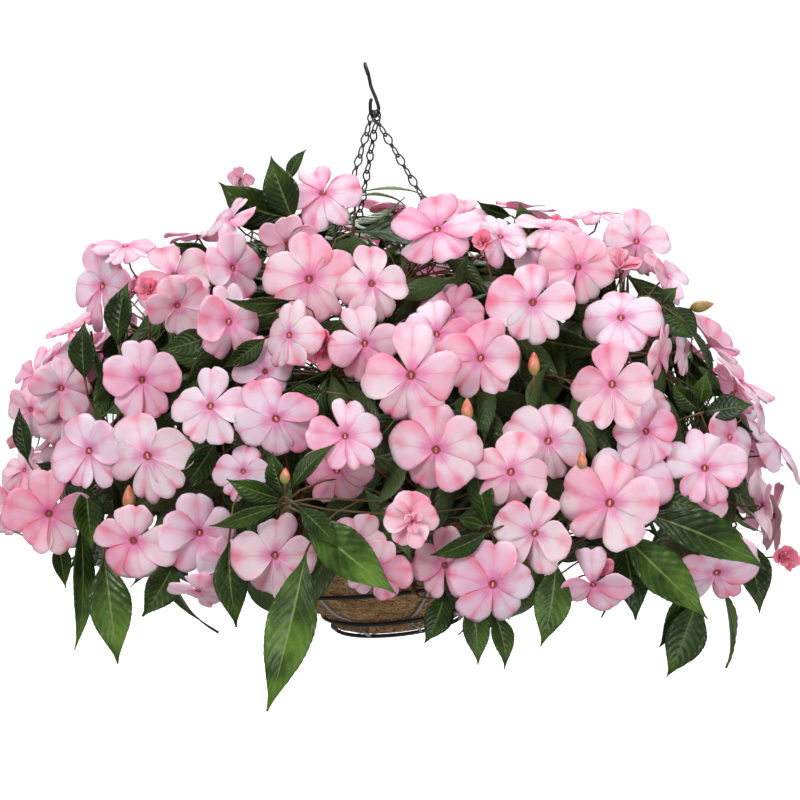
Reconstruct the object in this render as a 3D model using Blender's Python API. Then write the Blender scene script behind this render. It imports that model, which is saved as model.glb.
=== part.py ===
"""New guinea impatiens in a wire hanging basket: hook, three chains, welded wire
basket, coir liner, soil and the flowering stems that hide most of it.

Metres, +Z up. The origin is the underside of the hook's arch, where a bracket
carries it. +X is to the viewer's right, +Y away from the viewer.
"""

import math
from collections import namedtuple

import bmesh
import bpy
import numpy as np
from mathutils.bvhtree import BVHTree

# The viewpoint that the lists of flowers and leaves are read from: a picture
# 800 wide and 800 high, seen along +Y from a little above.
viewTarget = np.array((0.029, 0.0, -0.283))
viewDistance = 1.9
viewTilt = math.radians(10)
viewMiddle = 400
viewFocal = 2222

# Hook
hookRod = 0.003
hookArch = 0.012
hookOpening = 160
hookBend = 0.0068
hookBendCentre = np.array((0.0077, 0.0, -0.0355))
hookBendTurn = math.radians(60)

# Chains
chainAzimuths = (-8, 112, 232)
chainSeats = (2, 42, -38)
linkPitch = 0.020
linkWire = 0.0018
linkHalfWidth = 0.0043
linkHalfEnd = 0.0028

# Wire basket: every height is above its base ring
basketBase = np.array((0.028, 0.0, -0.477))
basketRoll = math.radians(6.3)
basketLean = math.radians(-2.5)
basketSphere = 0.178
rimHeight = 0.125
rimWire = 0.004
ringHeights = (0.088, 0.050, 0.0125)
ringWire = 0.0034
baseRadius = 0.056
ribCount = 8
ribWire = 0.0026
ribFirst = math.radians(-124)
ribTurns = ((0.125, 4), (0.050, 4), (0.0125, 0), (0.0, 9))

# Liner and soil
linerThickness = 0.010
soilHeight = 0.114
soilMound = 0.012
gap = 0.0003
sides = 20
plantingDepth = 0.022

# The mound of foliage and flowers
moundCentre = np.array((0.031, 0.0, -0.378))
moundHalf = np.array((0.335, 0.30, 0.0))
moundUp = 0.290
moundDown = 0.100
moundPowers = (2.0, 2.6)
lowInset = 0.5
stemLowInset = 0.4
layerDepth = 0.022

# Flowering stems: the polar angle of each row of tips, and their azimuths
stemRows = (
    (22, (-90, 30, 150)),
    (50, (-152, -105, -62, -32, 20, 70, 150)),
    (77, (-152, -108, -86, -64, -44, -26, 16, 52, 90, 135, 178)),
    (103, (-152, -110, -88, -65, -38, 12, 48, 90, 138, 180)),
)
stemInset = 0.070
stemRoots = (0.026, 0.034)
stemRise = 0.38
stemRowRise = 0.012
stemRowDroop = 0.35
stemRun = 0.30
stemRadius = 0.0040
stemTipRadius = 0.0022
stemPoints = 6
spotStep = 0.006
spotCount = 26
stalkRadius = 0.0012
stalkBends = ((0.30, 0.25), (0.15, 0.05), (0.50, 0.45))
stalkPoints = 3
petiolePoints = 2
petiole = 0.014

# Leaves: how far along and how wide each section is, and how far the edges fold up
leafStations = ((0.76, 0.62), (0.40, 1.0))
leafFold = 0.18
leafThickness = 0.0011

# Flowers: the five petals from the top one round, with their reach and their lift
petalCup = {"open": -0.03, "young": 0.20}
petalTurns = (0, 72, 144, 216, 288)
lobeTurn = 23
valleyReach = 0.33
notchShare = 0.87
petalLengths = (0.47, 0.50, 0.50, 0.50, 0.50)
petalLifts = (-0.030, 0.022, -0.006, -0.006, 0.022)

# Room that growth keeps round the basket, each chain and the hook
basketGuard = 0.006
chainGuard = 0.008
hookGuard = 0.018

clearance = 0.0010
stemTries = 7
spotTries = 6
mostScrapFaces = 12
randomSeed = 11

Bloom = namedtuple("Bloom", "across down width turn tip spin kind layer")
Leaf = namedtuple("Leaf", "across down tipAcross tipDown width face layer")

# Flowers seen from the front: eye, width, heading right and up in degrees, the
# turn of the top petal, the kind, and how many layers deep it sits.
frontBlooms = (
    Bloom(411, 375, 94, 0, 0, 0, "open", -0.5),
    Bloom(610, 503, 92, 0, 0, 10, "open", -0.3),
    Bloom(309, 279, 86, 0, 5, 0, "open", 0),
    Bloom(533, 302, 84, 0, 5, 0, "open", -0.3),
    Bloom(493, 585, 84, 0, -10, 0, "open", 0),
    Bloom(142, 380, 78, 0, 0, 0, "open", 0),
    Bloom(147, 456, 84, -5, 0, -20, "open", 0),
    Bloom(436, 450, 84, 0, 0, -5, "open", 0),
    Bloom(511, 472, 80, 0, 0, 15, "open", 0),
    Bloom(49, 514, 80, 5, 0, 0, "open", -0.3),
    Bloom(133, 541, 80, -5, -5, 10, "open", -0.2),
    Bloom(612, 384, 82, -8, 5, 0, "open", -0.4),
    Bloom(323, 192, 80, 5, 32, -8, "open", 0),
    Bloom(437, 228, 84, -5, 32, 0, "open", 0),
    Bloom(276, 419, 80, 0, -5, -25, "open", 0),
    Bloom(210, 406, 76, -6, 5, 5, "open", -0.2),
    Bloom(365, 343, 74, 5, 15, -8, "open", 0.5),
    Bloom(372, 283, 74, 10, 10, 0, "open", 0.2),
    Bloom(481, 358, 80, 8, 0, 5, "open", 0.6),
    Bloom(535, 534, 78, 0, -15, 20, "open", 0),
    Bloom(621, 317, 76, 0, 25, 0, "open", 0),
    Bloom(578, 267, 72, 0, 10, 20, "open", 0.4),
    Bloom(88, 451, 76, -28, 0, -20, "open", -0.3),
    Bloom(705, 468, 78, 5, 10, 5, "open", -0.3),
    Bloom(275, 556, 82, 0, -15, 0, "open", 0),
    Bloom(200, 533, 78, 12, -5, 0, "open", 0.8),
    Bloom(345, 436, 68, 0, 10, 0, "open", 0),
    Bloom(412, 521, 60, 0, 0, 0, "young", -0.2),
    Bloom(101, 286, 78, -40, 5, -10, "open", 0),
    Bloom(174, 275, 76, 0, 15, -25, "open", 0),
    Bloom(230, 322, 76, 38, 0, 0, "open", 0),
    Bloom(288, 335, 68, -35, 5, 0, "open", 0),
    Bloom(234, 268, 70, 45, 10, -5, "open", 0),
    Bloom(322, 345, 54, -5, -5, 0, "young", 0.4),
    Bloom(549, 441, 80, 12, 5, 15, "open", 1.0),
    Bloom(444, 566, 70, -25, -15, 0, "open", 0.6),
    Bloom(593, 586, 72, 0, -42, 0, "open", 0.2),
    Bloom(630, 475, 80, 0, 12, 10, "open", 0.9),
    Bloom(646, 431, 68, 0, 10, -10, "open", 0.1),
    Bloom(731, 437, 70, 28, 5, 20, "open", 0.2),
    Bloom(637, 241, 64, 10, 15, 10, "open", 0),
    Bloom(547, 227, 66, 0, 58, 0, "open", 0),
    Bloom(501, 236, 58, 18, 28, 5, "open", 0.5),
    Bloom(483, 243, 34, 0, 10, 0, "young", -0.6),
    Bloom(230, 218, 60, -45, 42, 0, "open", 0),
    Bloom(286, 240, 56, 175, 40, 0, "open", 0.2),
    Bloom(125, 245, 62, -10, 64, 0, "open", 0.2),
    Bloom(149, 293, 36, 0, 20, 0, "young", -0.4),
    Bloom(178, 306, 58, 20, -10, -20, "open", 0.8),
    Bloom(265, 372, 60, -8, -12, 0, "open", 1.4),
    Bloom(70, 331, 48, -40, 58, 0, "open", 0),
    Bloom(57, 352, 50, -50, 30, 0, "open", 0.6),
    Bloom(34, 374, 60, -55, 25, 0, "open", 0),
    Bloom(62, 388, 62, 24, 5, 0, "open", 0.3),
    Bloom(30, 410, 54, -28, 0, 0, "open", 0),
    Bloom(64, 417, 54, 20, -8, 0, "open", 0.9),
    Bloom(13, 505, 66, -28, 0, 0, "open", 0.4),
    Bloom(24, 470, 46, -20, 12, 0, "open", 0.3),
    Bloom(198, 592, 58, -12, -55, 0, "open", 0),
    Bloom(226, 564, 50, 18, -20, 0, "open", 1.2),
    Bloom(243, 471, 54, -10, 10, 0, "open", 0.8),
    Bloom(337, 471, 74, 6, -18, 0, "open", 1.1),
    Bloom(357, 539, 56, 18, 0, 30, "open", 1.4),
    Bloom(378, 568, 70, 8, -15, 10, "open", 0.9),
    Bloom(437, 334, 72, 8, 16, 0, "open", 0.9),
    Bloom(452, 311, 62, -5, 20, 10, "open", 1.9),
    Bloom(540, 262, 52, 0, 22, 0, "open", 1.0),
    Bloom(620, 268, 52, -8, 60, 0, "young", 0.8),
    Bloom(668, 276, 58, 58, 30, 0, "open", 0),
    Bloom(660, 356, 60, 72, -10, 0, "open", 0.2),
    Bloom(686, 350, 52, 70, 0, 0, "open", 0.6),
    Bloom(738, 388, 60, 110, 32, 0, "open", 0),
    Bloom(640, 404, 62, 10, 30, -10, "open", 1.0),
    Bloom(762, 408, 46, 62, 20, 0, "open", 0.4),
    Bloom(700, 510, 56, 0, -28, 0, "open", 0.6),
    Bloom(766, 505, 66, 72, 10, 0, "open", 0),
    Bloom(781, 557, 38, 15, 0, 0, "young", 0),
    Bloom(717, 574, 82, 8, -38, 0, "open", 0),
    Bloom(596, 562, 38, 10, -28, 0, "young", 0.5),
    Bloom(598, 213, 50, -20, 72, 0, "open", 0.3),
    Bloom(466, 214, 48, 12, 42, 0, "open", 1.2),
    Bloom(241, 178, 46, 165, 30, 0, "open", 0.8),
    Bloom(534, 364, 24, 10, 0, 0, "bud", 0.2),
    Bloom(582, 461, 20, 0, 0, 0, "bud", 0.2),
    Bloom(467, 410, 24, 60, 0, 0, "bud", 0.2),
    Bloom(702, 306, 24, 70, 10, 0, "bud", 0),
    Bloom(285, 476, 20, 0, 40, 0, "bud", -0.6),
    Bloom(129, 498, 26, -60, 0, 0, "bud", 0.6),
)

# Leaves seen from the front: base, tip, width across, degrees turned from
# facing the viewer, and the layer that the base sits in.
frontLeaves = (
    Leaf(306, 552, 268, 712, 50, 10, -0.3),
    Leaf(300, 512, 397, 593, 46, 15, -0.9),
    Leaf(104, 555, 118, 664, 42, 10, 0.3),
    Leaf(80, 520, 78, 650, 20, 40, 0.9),
    Leaf(176, 560, 143, 617, 34, 20, 0.8),
    Leaf(229, 540, 237, 627, 34, 15, 0.4),
    Leaf(58, 538, 66, 588, 18, 20, 0.8),
    Leaf(445, 590, 425, 644, 30, 15, 1.0),
    Leaf(472, 595, 479, 665, 28, 15, 0.6),
    Leaf(492, 608, 506, 669, 22, 30, 0.9),
    Leaf(556, 560, 542, 647, 38, 15, 0.6),
    Leaf(508, 552, 544, 602, 16, 50, 0.5),
    Leaf(622, 535, 637, 620, 38, 15, 0.9),
    Leaf(620, 532, 709, 618, 44, 15, 0.4),
    Leaf(640, 512, 768, 568, 42, 25, 0.1),
    Leaf(698, 598, 668, 678, 42, 15, 0.7),
    Leaf(684, 590, 661, 648, 24, 30, 1.2),
    Leaf(741, 535, 761, 613, 34, 15, 0.5),
    Leaf(722, 585, 730, 668, 14, 75, 0.8),
    Leaf(292, 218, 218, 183, 42, 20, 0.9),
    Leaf(294, 222, 270, 156, 36, 15, 0.5),
    Leaf(287, 182, 305, 149, 14, 40, 0.9),
    Leaf(352, 232, 486, 238, 34, 45, 1.2),
    Leaf(352, 202, 426, 204, 12, 75, 0.6),
    Leaf(216, 262, 173, 243, 24, 30, 0.9),
    Leaf(534, 243, 519, 203, 26, 15, 0.9),
    Leaf(512, 216, 477, 202, 14, 40, 1.0),
    Leaf(216, 334, 160, 350, 28, 15, 0.2),
    Leaf(294, 300, 226, 301, 14, 55, -0.1),
    Leaf(266, 338, 224, 368, 22, 25, 1.0),
    Leaf(85, 380, 84, 321, 28, 10, 0.2),
    Leaf(118, 345, 127, 282, 30, 20, 1.0),
    Leaf(284, 500, 226, 480, 24, 20, -0.5),
    Leaf(282, 504, 210, 528, 18, 35, -0.7),
    Leaf(280, 508, 240, 566, 24, 25, -0.6),
    Leaf(284, 496, 272, 452, 22, 20, -0.2),
    Leaf(290, 490, 334, 443, 18, 30, -1.1),
    Leaf(298, 506, 338, 547, 24, 20, -1.3),
    Leaf(402, 410, 358, 459, 40, 20, -0.1),
    Leaf(438, 414, 488, 432, 16, 35, 0.5),
    Leaf(490, 530, 470, 448, 26, 15, 0.3),
    Leaf(488, 532, 432, 556, 22, 30, 0.9),
    Leaf(486, 526, 458, 518, 14, 30, 0.6),
    Leaf(602, 350, 514, 332, 34, 35, 0.9),
    Leaf(642, 498, 706, 510, 26, 35, 0.9),
    Leaf(646, 318, 694, 338, 20, 35, 0.6),
    Leaf(668, 306, 698, 340, 22, 30, 0.5),
    Leaf(684, 322, 714, 380, 12, 70, 0.2),
    Leaf(662, 305, 677, 287, 14, 30, 0.3),
    Leaf(700, 412, 672, 384, 22, 20, 0.8),
    Leaf(704, 412, 752, 404, 26, 20, 0.8),
    Leaf(700, 408, 706, 372, 18, 25, 1.0),
    Leaf(326, 392, 280, 400, 26, 20, 0.6),
    Leaf(28, 462, 18, 408, 20, 20, 0.3),
    Leaf(66, 470, 36, 464, 14, 30, 0.4),
    Leaf(86, 484, 92, 548, 30, 20, 0.9),
    Leaf(216, 440, 180, 492, 30, 25, 1.4),
    Leaf(226, 462, 236, 520, 26, 25, 1.6),
)

goldenAngle = math.radians(137.508)

# Flowers over the sides, the top and the back
spiralCount = 230
spiralDepth = 1.28
backBloomCount = 42
backSpacing = 0.062
backInsets = (0.0, 0.016)
backWidths = (0.058, 0.070)
backRise = 0.30
backTurn = 0.22
backSpin = 0.25
backToward = 0.12
youngShare = 0.12
youngWidth = 0.8

# Leaves down the stems
fillLeafCount = 64
fillSpreads = (0.9, 1.6)
fillLengths = (0.080, 0.120)
fillWidths = (0.30, 0.38)
fillArches = (0.03, 0.09)
fillTilt = 0.15
fillRise = 0.10
fillDroop = 0.18
fillToward = 0.45
fillOutside = 0.02

depthShifts = [0.006 * step for step in (0, 1, -1, 2, -2, 3, -3, 4, 5, -4, 6, 7, 8, 10, 12)]


def sightLine(across, down):
    """Start and unit direction of the line of sight through a point of the picture."""
    forward = np.array((0.0, math.cos(viewTilt), -math.sin(viewTilt)))
    right = np.array((1.0, 0.0, 0.0))
    up = np.array((0.0, math.sin(viewTilt), math.cos(viewTilt)))
    start = viewTarget - viewDistance * forward
    along = (
        forward
        + right * (across - viewMiddle) / viewFocal
        + up * (viewMiddle - down) / viewFocal
    )
    return start, along / np.linalg.norm(along)


def viewAxes():
    """Right, up and toward the viewer, as seen in the picture."""
    right = np.array((1.0, 0.0, 0.0))
    up = np.array((0.0, math.sin(viewTilt), math.cos(viewTilt)))
    toward = np.array((0.0, -math.cos(viewTilt), math.sin(viewTilt)))
    return right, up, toward


def unit(vector):
    return vector / max(np.linalg.norm(vector), 1e-9)


def moundLevel(points, inset):
    """Below 1 inside the mound when every half-size is smaller by inset."""
    off = points - moundCentre
    above = off[:, 2] > 0
    half = np.where(above, moundUp, moundDown) - inset * np.where(above, 1, lowInset)
    power = np.where(above, *moundPowers)
    flat = np.hypot(off[:, 0] / (moundHalf[0] - inset), off[:, 1] / (moundHalf[1] - inset))
    return flat**power + np.abs(off[:, 2] / half) ** power


def onMound(across, down, layer):
    """Where the line of sight enters the mound at this layer, or passes closest to it."""
    start, along = sightLine(across, down)
    reach = np.arange(viewDistance - 0.45, viewDistance + 0.35, 0.002)
    points = start + reach[:, None] * along
    level = moundLevel(points, layer * layerDepth)
    inside = np.nonzero(level < 1)[0]
    return points[inside[0] if len(inside) else level.argmin()]


def moundPoint(polar, azimuth, inset):
    """The mound's point in this direction, with its outward normal."""
    up = math.cos(polar)
    tall = moundUp - inset if up > 0 else moundDown - inset * stemLowInset
    half = np.array((moundHalf[0] - inset, moundHalf[1] - inset, tall))
    way = np.array((math.sin(polar) * math.cos(azimuth), math.sin(polar) * math.sin(azimuth), up))
    return moundCentre + half * way, unit(way / half)


def basketFrame():
    """The hanging basket's axes as columns: it hangs a little low on the left."""
    roll = np.array(
        (
            (math.cos(basketRoll), 0, -math.sin(basketRoll)),
            (0, 1, 0),
            (math.sin(basketRoll), 0, math.cos(basketRoll)),
        )
    )
    lean = np.array(
        (
            (1, 0, 0),
            (0, math.cos(basketLean), -math.sin(basketLean)),
            (0, math.sin(basketLean), math.cos(basketLean)),
        )
    )
    return roll @ lean


def inBasket(points):
    """World places of points given in the basket's own frame, above its base ring."""
    return basketBase + np.asarray(points, float) @ basketFrame().T


def bowlRadius(height, sphere=basketSphere):
    drop = basketSphere - height
    return math.sqrt(max(sphere**2 - drop**2, 0))


# Shapes: each function gives vertices and faces of one closed solid


def carryFrame(path, normal):
    """A normal and a binormal at each point of a path, carried along it without twist."""
    tangents = np.gradient(path, axis=0)
    tangents /= np.linalg.norm(tangents, axis=1)[:, None]
    normals = []
    for tangent in tangents:
        normal = unit(normal - tangent * (normal @ tangent))
        normals.append(normal)
    normals = np.array(normals)
    return normals, np.cross(tangents, normals)


def tubeRings(path, radii, count, normal):
    """Rings of points round a path, the first point of the first one toward this normal."""
    normals, across = carryFrame(path, normal)
    turns = np.arange(count) * math.tau / count
    cosines, sines = np.cos(turns)[None, :, None], np.sin(turns)[None, :, None]
    ring = cosines * normals[:, None] + sines * across[:, None]
    return (path[:, None] + np.broadcast_to(radii, len(path))[:, None, None] * ring).reshape(-1, 3)


def ringFaces(ringCount, count, first=0):
    """Quads between successive rings of the same number of points."""
    faces = []
    for i in range(ringCount - 1):
        for j in range(count):
            a, b = first + i * count + j, first + i * count + (j + 1) % count
            faces.append((a, b, b + count, a + count))
    return faces


def tube(path, radii, count, normal=None):
    """A round rod along a path, with flat ends."""
    path = np.asarray(path, float)
    if normal is None:
        normal = np.cross(path[1] - path[0], np.eye(3)[np.abs(path[1] - path[0]).argmin()])
    verts = tubeRings(path, radii, count, normal)
    last = (len(path) - 1) * count
    faces = ringFaces(len(path), count)
    faces += [tuple(range(count))[::-1], tuple(last + j for j in range(count))]
    return verts, faces


def hoop(path, radius, count, normal):
    """A rod bent into a closed loop in the plane across this normal."""
    path = np.asarray(path, float)
    tangents = np.roll(path, -1, axis=0) - np.roll(path, 1, axis=0)
    tangents /= np.linalg.norm(tangents, axis=1)[:, None]
    outward = np.cross(tangents, normal)
    turns = np.arange(count) * math.tau / count
    ring = np.cos(turns)[None, :, None] * outward[:, None] + np.sin(turns)[None, :, None] * normal
    verts = (path[:, None] + radius * ring).reshape(-1, 3)
    total = len(verts)
    faces = [tuple(v % total for v in face) for face in ringFaces(len(path) + 1, count)]
    return verts, faces


def bridge(first, firstCount, second, secondCount):
    """Triangles between two rings of different numbers of points."""
    faces, i, j = [], 0, 0
    while i < firstCount or j < secondCount:
        a, b = first + i % firstCount, second + j % secondCount
        if j >= secondCount or (i < firstCount and (i + 1) / firstCount <= (j + 1) / secondCount):
            i += 1
            faces.append((a, b, first + i % firstCount))
        else:
            j += 1
            faces.append((a, b, second + j % secondCount))
    return faces


def curve(start, startHandle, endHandle, end, count):
    """Points along a cubic curve."""
    t = np.linspace(0, 1, count)[:, None]
    return (
        (1 - t) ** 3 * start
        + 3 * (1 - t) ** 2 * t * startHandle
        + 3 * (1 - t) * t**2 * endHandle
        + t**3 * end
    )


def bloomRings(item, grow):
    """Front centre, five-petalled outline, back centre, and the way to the outline's start."""
    centre, heading, top, width = (item[key] for key in ("centre", "heading", "top", "width"))
    right = np.cross(top, heading)
    cup = petalCup[item["kind"]]
    spread = 0.75 if item["kind"] == "young" else 1.0
    outline = []
    for petal, length, lift in zip(petalTurns, petalLengths, petalLifts):
        points = ((-36, valleyReach, cup * 0.5 - 0.012), (-lobeTurn, length, lift + cup))
        if item["notched"]:
            points += ((0, length * notchShare, lift * 0.8 + cup),)
        points += ((lobeTurn, length, lift + cup),)
        for turn, reach, rise in points:
            angle = math.radians(petal + turn)
            out = reach * spread * width + grow
            outline.append(
                centre + out * (top * math.cos(angle) + right * math.sin(angle)) + heading * rise * width
            )
    front = centre - heading * (0.05 * width - 0.0004 - grow)
    back = centre - heading * (0.05 * width + 0.0035 + grow)
    return front, [outline], back, top * math.cos(math.radians(36)) - right * math.sin(math.radians(36))


def budRings(item, grow):
    """Tip, widest square and foot of a bud, and the way to the square's start."""
    centre, heading, top = item["centre"], item["heading"], item["top"]
    right = np.cross(top, heading)
    half = item["width"] * 0.5 + grow
    square = [centre + half * 0.42 * way for way in (right, heading, -right, -heading)]
    return centre + top * half, [square], centre - top * half, right


def leafRings(item, grow):
    """Tip, two sections folded along the rib, and base of a leaf, and the way to its left edge."""
    base, tip = item["base"], item["tip"]
    length = np.linalg.norm(tip - base)
    axis = (tip - base) / length
    side = unit(item["side"] - axis * (item["side"] @ axis))
    face = np.cross(side, axis)
    sections = []
    for along, share in leafStations:
        half = item["width"] / 2 * share
        middle = base + axis * along * length + face * item["arch"] * length * 4 * along * (1 - along)
        lift = face * half * leafFold
        reach = side * (half + grow)
        thick = face * (leafThickness / 2 + grow)
        sections.append((middle - reach + lift, middle - thick, middle + reach + lift, middle + thick))
    return tip + axis * grow, sections, base, -side


def bodyRings(item, grow):
    makers = {"leaf": leafRings, "bud": budRings}
    return makers.get(item["kind"], bloomRings)(item, grow)


def foldedFaces(ringCount, count, first):
    """Triangles between leaf sections, split alike on the upper and the lower face."""
    faces = []
    for i, (a, b, c, d) in enumerate(ringFaces(ringCount, count, first)):
        faces += [(a, b, c), (a, c, d)] if i % 2 == 0 else [(a, b, d), (b, c, d)]
    return faces


def bodyShape(item, grow=0.0):
    """A flower, bud or leaf by itself, closed where its stalk would start."""
    apex, rings, foot, _ = bodyRings(item, grow)
    count = len(rings[0])
    last = 1 + (len(rings) - 1) * count
    faces = [(0, 1 + j, 1 + (j + 1) % count) for j in range(count)]
    faces += foldedFaces(len(rings), count, 1)
    faces += [(last + j, last + count, last + (j + 1) % count) for j in range(count)]
    return np.vstack([apex[None]] + [np.array(ring) for ring in rings] + [foot[None]]), faces


def stalkPath(item):
    """The middle of the stalk, from the flower, bud or leaf to the stem."""
    return curve(*item["stalk"], petiolePoints if item["kind"] == "leaf" else stalkPoints)[::-1]


def pieceShape(item):
    """A flower, bud or leaf that narrows into its own stalk, down to the stem's middle."""
    apex, rings, _, normal = bodyRings(item, 0.0)
    count = len(rings[0])
    last = 1 + (len(rings) - 1) * count
    path = stalkPath(item)
    faces = [(0, 1 + j, 1 + (j + 1) % count) for j in range(count)]
    faces += foldedFaces(len(rings), count, 1)
    first = last + count
    faces += bridge(last, count, first, 3) + ringFaces(len(path), 3, first)
    end = first + 3 * (len(path) - 1)
    faces.append((end, end + 1, end + 2))
    stalk = tubeRings(path, stalkRadius, 3, normal)
    return np.vstack([apex[None]] + [np.array(ring) for ring in rings] + [stalk]), faces


def stalkShape(item, grow=0.0):
    """The stalk by itself, with its corners where pieceShape has them."""
    path = stalkPath(item)
    return tube(path, stalkRadius + grow, 3, bodyRings(item, 0.0)[3])


def crossesItself(item):
    """Whether the stalk runs back through its own flower or leaf."""
    verts, faces = pieceShape(item)
    tree = BVHTree.FromPolygons(verts.tolist(), faces)
    return any(a < b and not set(faces[a]) & set(faces[b]) for a, b in tree.overlap(tree))


# Growing the plant: every piece is tested against those already there


class Thicket:
    """The pieces grown so far, each with its node, its part in the plant and a search tree."""

    def __init__(self):
        self.pieces = []
        self.middles = np.empty((0, 3))
        self.reaches = np.empty(0)

    @staticmethod
    def measured(shape):
        verts, faces = shape
        middle = (verts.min(axis=0) + verts.max(axis=0)) / 2
        reach = np.linalg.norm(verts - middle, axis=1).max()
        return BVHTree.FromPolygons(verts.tolist(), faces), middle, reach

    def add(self, shape, node, role):
        tree, middle, reach = self.measured(shape)
        self.pieces.append((node, role, tree))
        self.middles = np.vstack((self.middles, middle))
        self.reaches = np.append(self.reaches, reach)

    def met(self, shape, node, role):
        """The nodes that this shape would cross: a stalk may only cross its own stem."""
        tree, middle, reach = self.measured(shape)
        near = np.linalg.norm(self.middles - middle, axis=1) < self.reaches + reach
        found = set()
        for index in np.nonzero(near)[0]:
            otherNode, otherRole, otherTree = self.pieces[index]
            ownStem = otherNode == node and role == "stalk" and otherRole == "stem"
            if otherNode not in found and not ownStem and tree.overlap(otherTree):
                found.add(otherNode)
        return found


def guardShapes():
    """Closed shapes round the basket, the chains and the hook that growth keeps clear of."""
    heights = (-0.004, 0.0, 0.012, 0.03, 0.06, 0.095, rimHeight, rimHeight + 0.005)
    rings = [(max(bowlRadius(max(h, 0.004)), baseRadius) + basketGuard, h) for h in heights]
    guards = [latheShape([(0, heights[0])] + rings + [(0, heights[-1])], 16)]
    for start, end in chainLines():
        guards.append(tube([start, (start + end) / 2, end], chainGuard, 6))
    guards.append(tube([(0.005, 0, -0.05), (0.003, 0, 0.004)], hookGuard, 6))
    return guards


def stemLines():
    """The flowering stems, each a path from its hole in the soil to its tip in the mound."""
    stems = []
    middle = inBasket((0, 0, soilHeight))
    upright = basketFrame() @ np.array((0, 0, 1))
    for row, (polar, azimuths) in enumerate(stemRows):
        root = stemRoots[0] + stemRoots[1] * row
        for azimuth in azimuths:
            tip, outward = moundPoint(math.radians(polar), math.radians(azimuth), stemInset)
            way = tip - middle
            turn = math.atan2(way[1], way[0])
            low = inBasket((root * math.cos(turn), root * math.sin(turn), soilHeight - plantingDepth))
            top = low + upright * (plantingDepth + 0.006)
            span = np.linalg.norm(tip - top)
            droop = unit(outward + np.array((0, 0, -stemRowDroop * row)))
            lift = upright * (stemRise * span + stemRowRise * row)
            path = curve(top, top + lift, tip - droop * stemRun * span, tip, stemPoints)
            stems.append(np.vstack((low, path)))
    return stems


def stemRadii(path):
    return np.linspace(stemRadius, stemTipRadius, len(path))


def stemSpot(stem, index):
    """A point on the stem, this many steps down from its tip, and the way up the stem there."""
    down = stem[::-1]
    travelled = np.concatenate(([0], np.cumsum(np.linalg.norm(np.diff(down, axis=0), axis=1))))
    reach = spotStep * (index + 0.7)
    point, above = (
        np.array([np.interp(distance, travelled, down[:, axis]) for axis in range(3)])
        for distance in (reach, reach - 0.004)
    )
    return point, unit(above - point)


def stalkEnd(item):
    """Where the stalk enters the flower, bud or leaf, and the way out of it there."""
    if item["kind"] == "leaf":
        return item["base"], unit(item["base"] - item["tip"])
    if item["kind"] == "bud":
        return item["centre"] - item["top"] * item["width"] * 0.42, -item["top"]
    return item["centre"] - item["heading"] * (0.05 * item["width"] + 0.003), -item["heading"]


def stalkRoutes(item, spots, taken):
    """Curves from free spots on the stem to the piece, the nearest spots first."""
    end, leaving = stalkEnd(item)
    aim = end + leaving * 0.02
    free = []
    for index, (place, _) in enumerate(spots):
        if index not in taken:
            free.append((round(math.dist(place, aim), 4), index))
    for _, index in sorted(free)[:spotTries]:
        start, rise = spots[index]
        span = np.linalg.norm(end - start)
        for reach, lift in stalkBends:
            yield index, (start, start + rise * lift * span, end + leaving * reach * span, end)


class Plant:
    """The stems, what grows on them, and the spots on each stem that carry a stalk."""

    def __init__(self):
        self.thicket = Thicket()
        for guard in guardShapes():
            self.thicket.add(guard, "guard", "body")
        self.stems = stemLines()
        self.spots = [[stemSpot(stem, index) for index in range(spotCount)] for stem in self.stems]
        self.taken = [set() for _ in self.stems]
        self.items = []
        for node, stem in enumerate(self.stems):
            self.thicket.add(tube(stem, stemRadii(stem), 3), node, "stem")

    def nearest(self, place, count):
        """The stems nearest to a place, those that carry much already counted as further off."""
        reach = []
        for stem, taken in zip(self.stems, self.taken):
            tip, middle = np.linalg.norm(stem[-1] - place), np.linalg.norm(stem[-3] - place)
            reach.append(min(tip, middle + 0.03) + 0.002 * len(taken))
        return [int(i) for i in np.argsort(reach, kind="stable")[:count]]

    def settle(self, item, nodes, shifts, shiftWay, fusing=False):
        """Moves the piece along shiftWay until it clears the rest and a stalk reaches it.

        With fusing it may cross pieces of its own stem, which then grow together.
        """
        fallback = None
        for shift in shifts:
            moved = dict(item)
            for place in ("centre", "base", "tip"):
                if place in item:
                    moved[place] = item[place] + shiftWay * shift
            crossed = self.thicket.met(bodyShape(moved, clearance), None, "body")
            for node in nodes:
                if crossed and not (fusing and not fallback and crossed == {node}):
                    continue
                for spot, stalk in stalkRoutes(moved, self.spots[node], self.taken[node]):
                    found = dict(moved, node=node, spot=spot, stalk=stalk)
                    if self.thicket.met(stalkShape(found, clearance), node, "stalk") or crossesItself(found):
                        continue
                    if not crossed:
                        return found
                    fallback = found
                    break
        return fallback

    def add(self, item):
        self.thicket.add(bodyShape(item), item["node"], "body")
        self.thicket.add(stalkShape(item), item["node"], "stalk")
        self.taken[item["node"]].add(item["spot"])
        self.items.append(item)


def listedBloom(row):
    right, up, toward = viewAxes()
    turn, tip, spin = (math.radians(v) for v in (row.turn, row.tip, row.spin))
    flat = toward * math.cos(turn) + right * math.sin(turn)
    heading = flat * math.cos(tip) + up * math.sin(tip)
    upward = up if abs(row.tip) < 50 else -math.copysign(1, row.tip) * toward
    top = unit(upward - heading * (upward @ heading))
    top = top * math.cos(spin) + np.cross(top, heading) * math.sin(spin)
    centre = onMound(row.across, row.down, row.layer)
    width = row.width * np.linalg.norm(centre - sightLine(row.across, row.down)[0]) / viewFocal
    return dict(kind=row.kind, centre=centre, heading=heading, top=top, width=width, notched=True)


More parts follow.
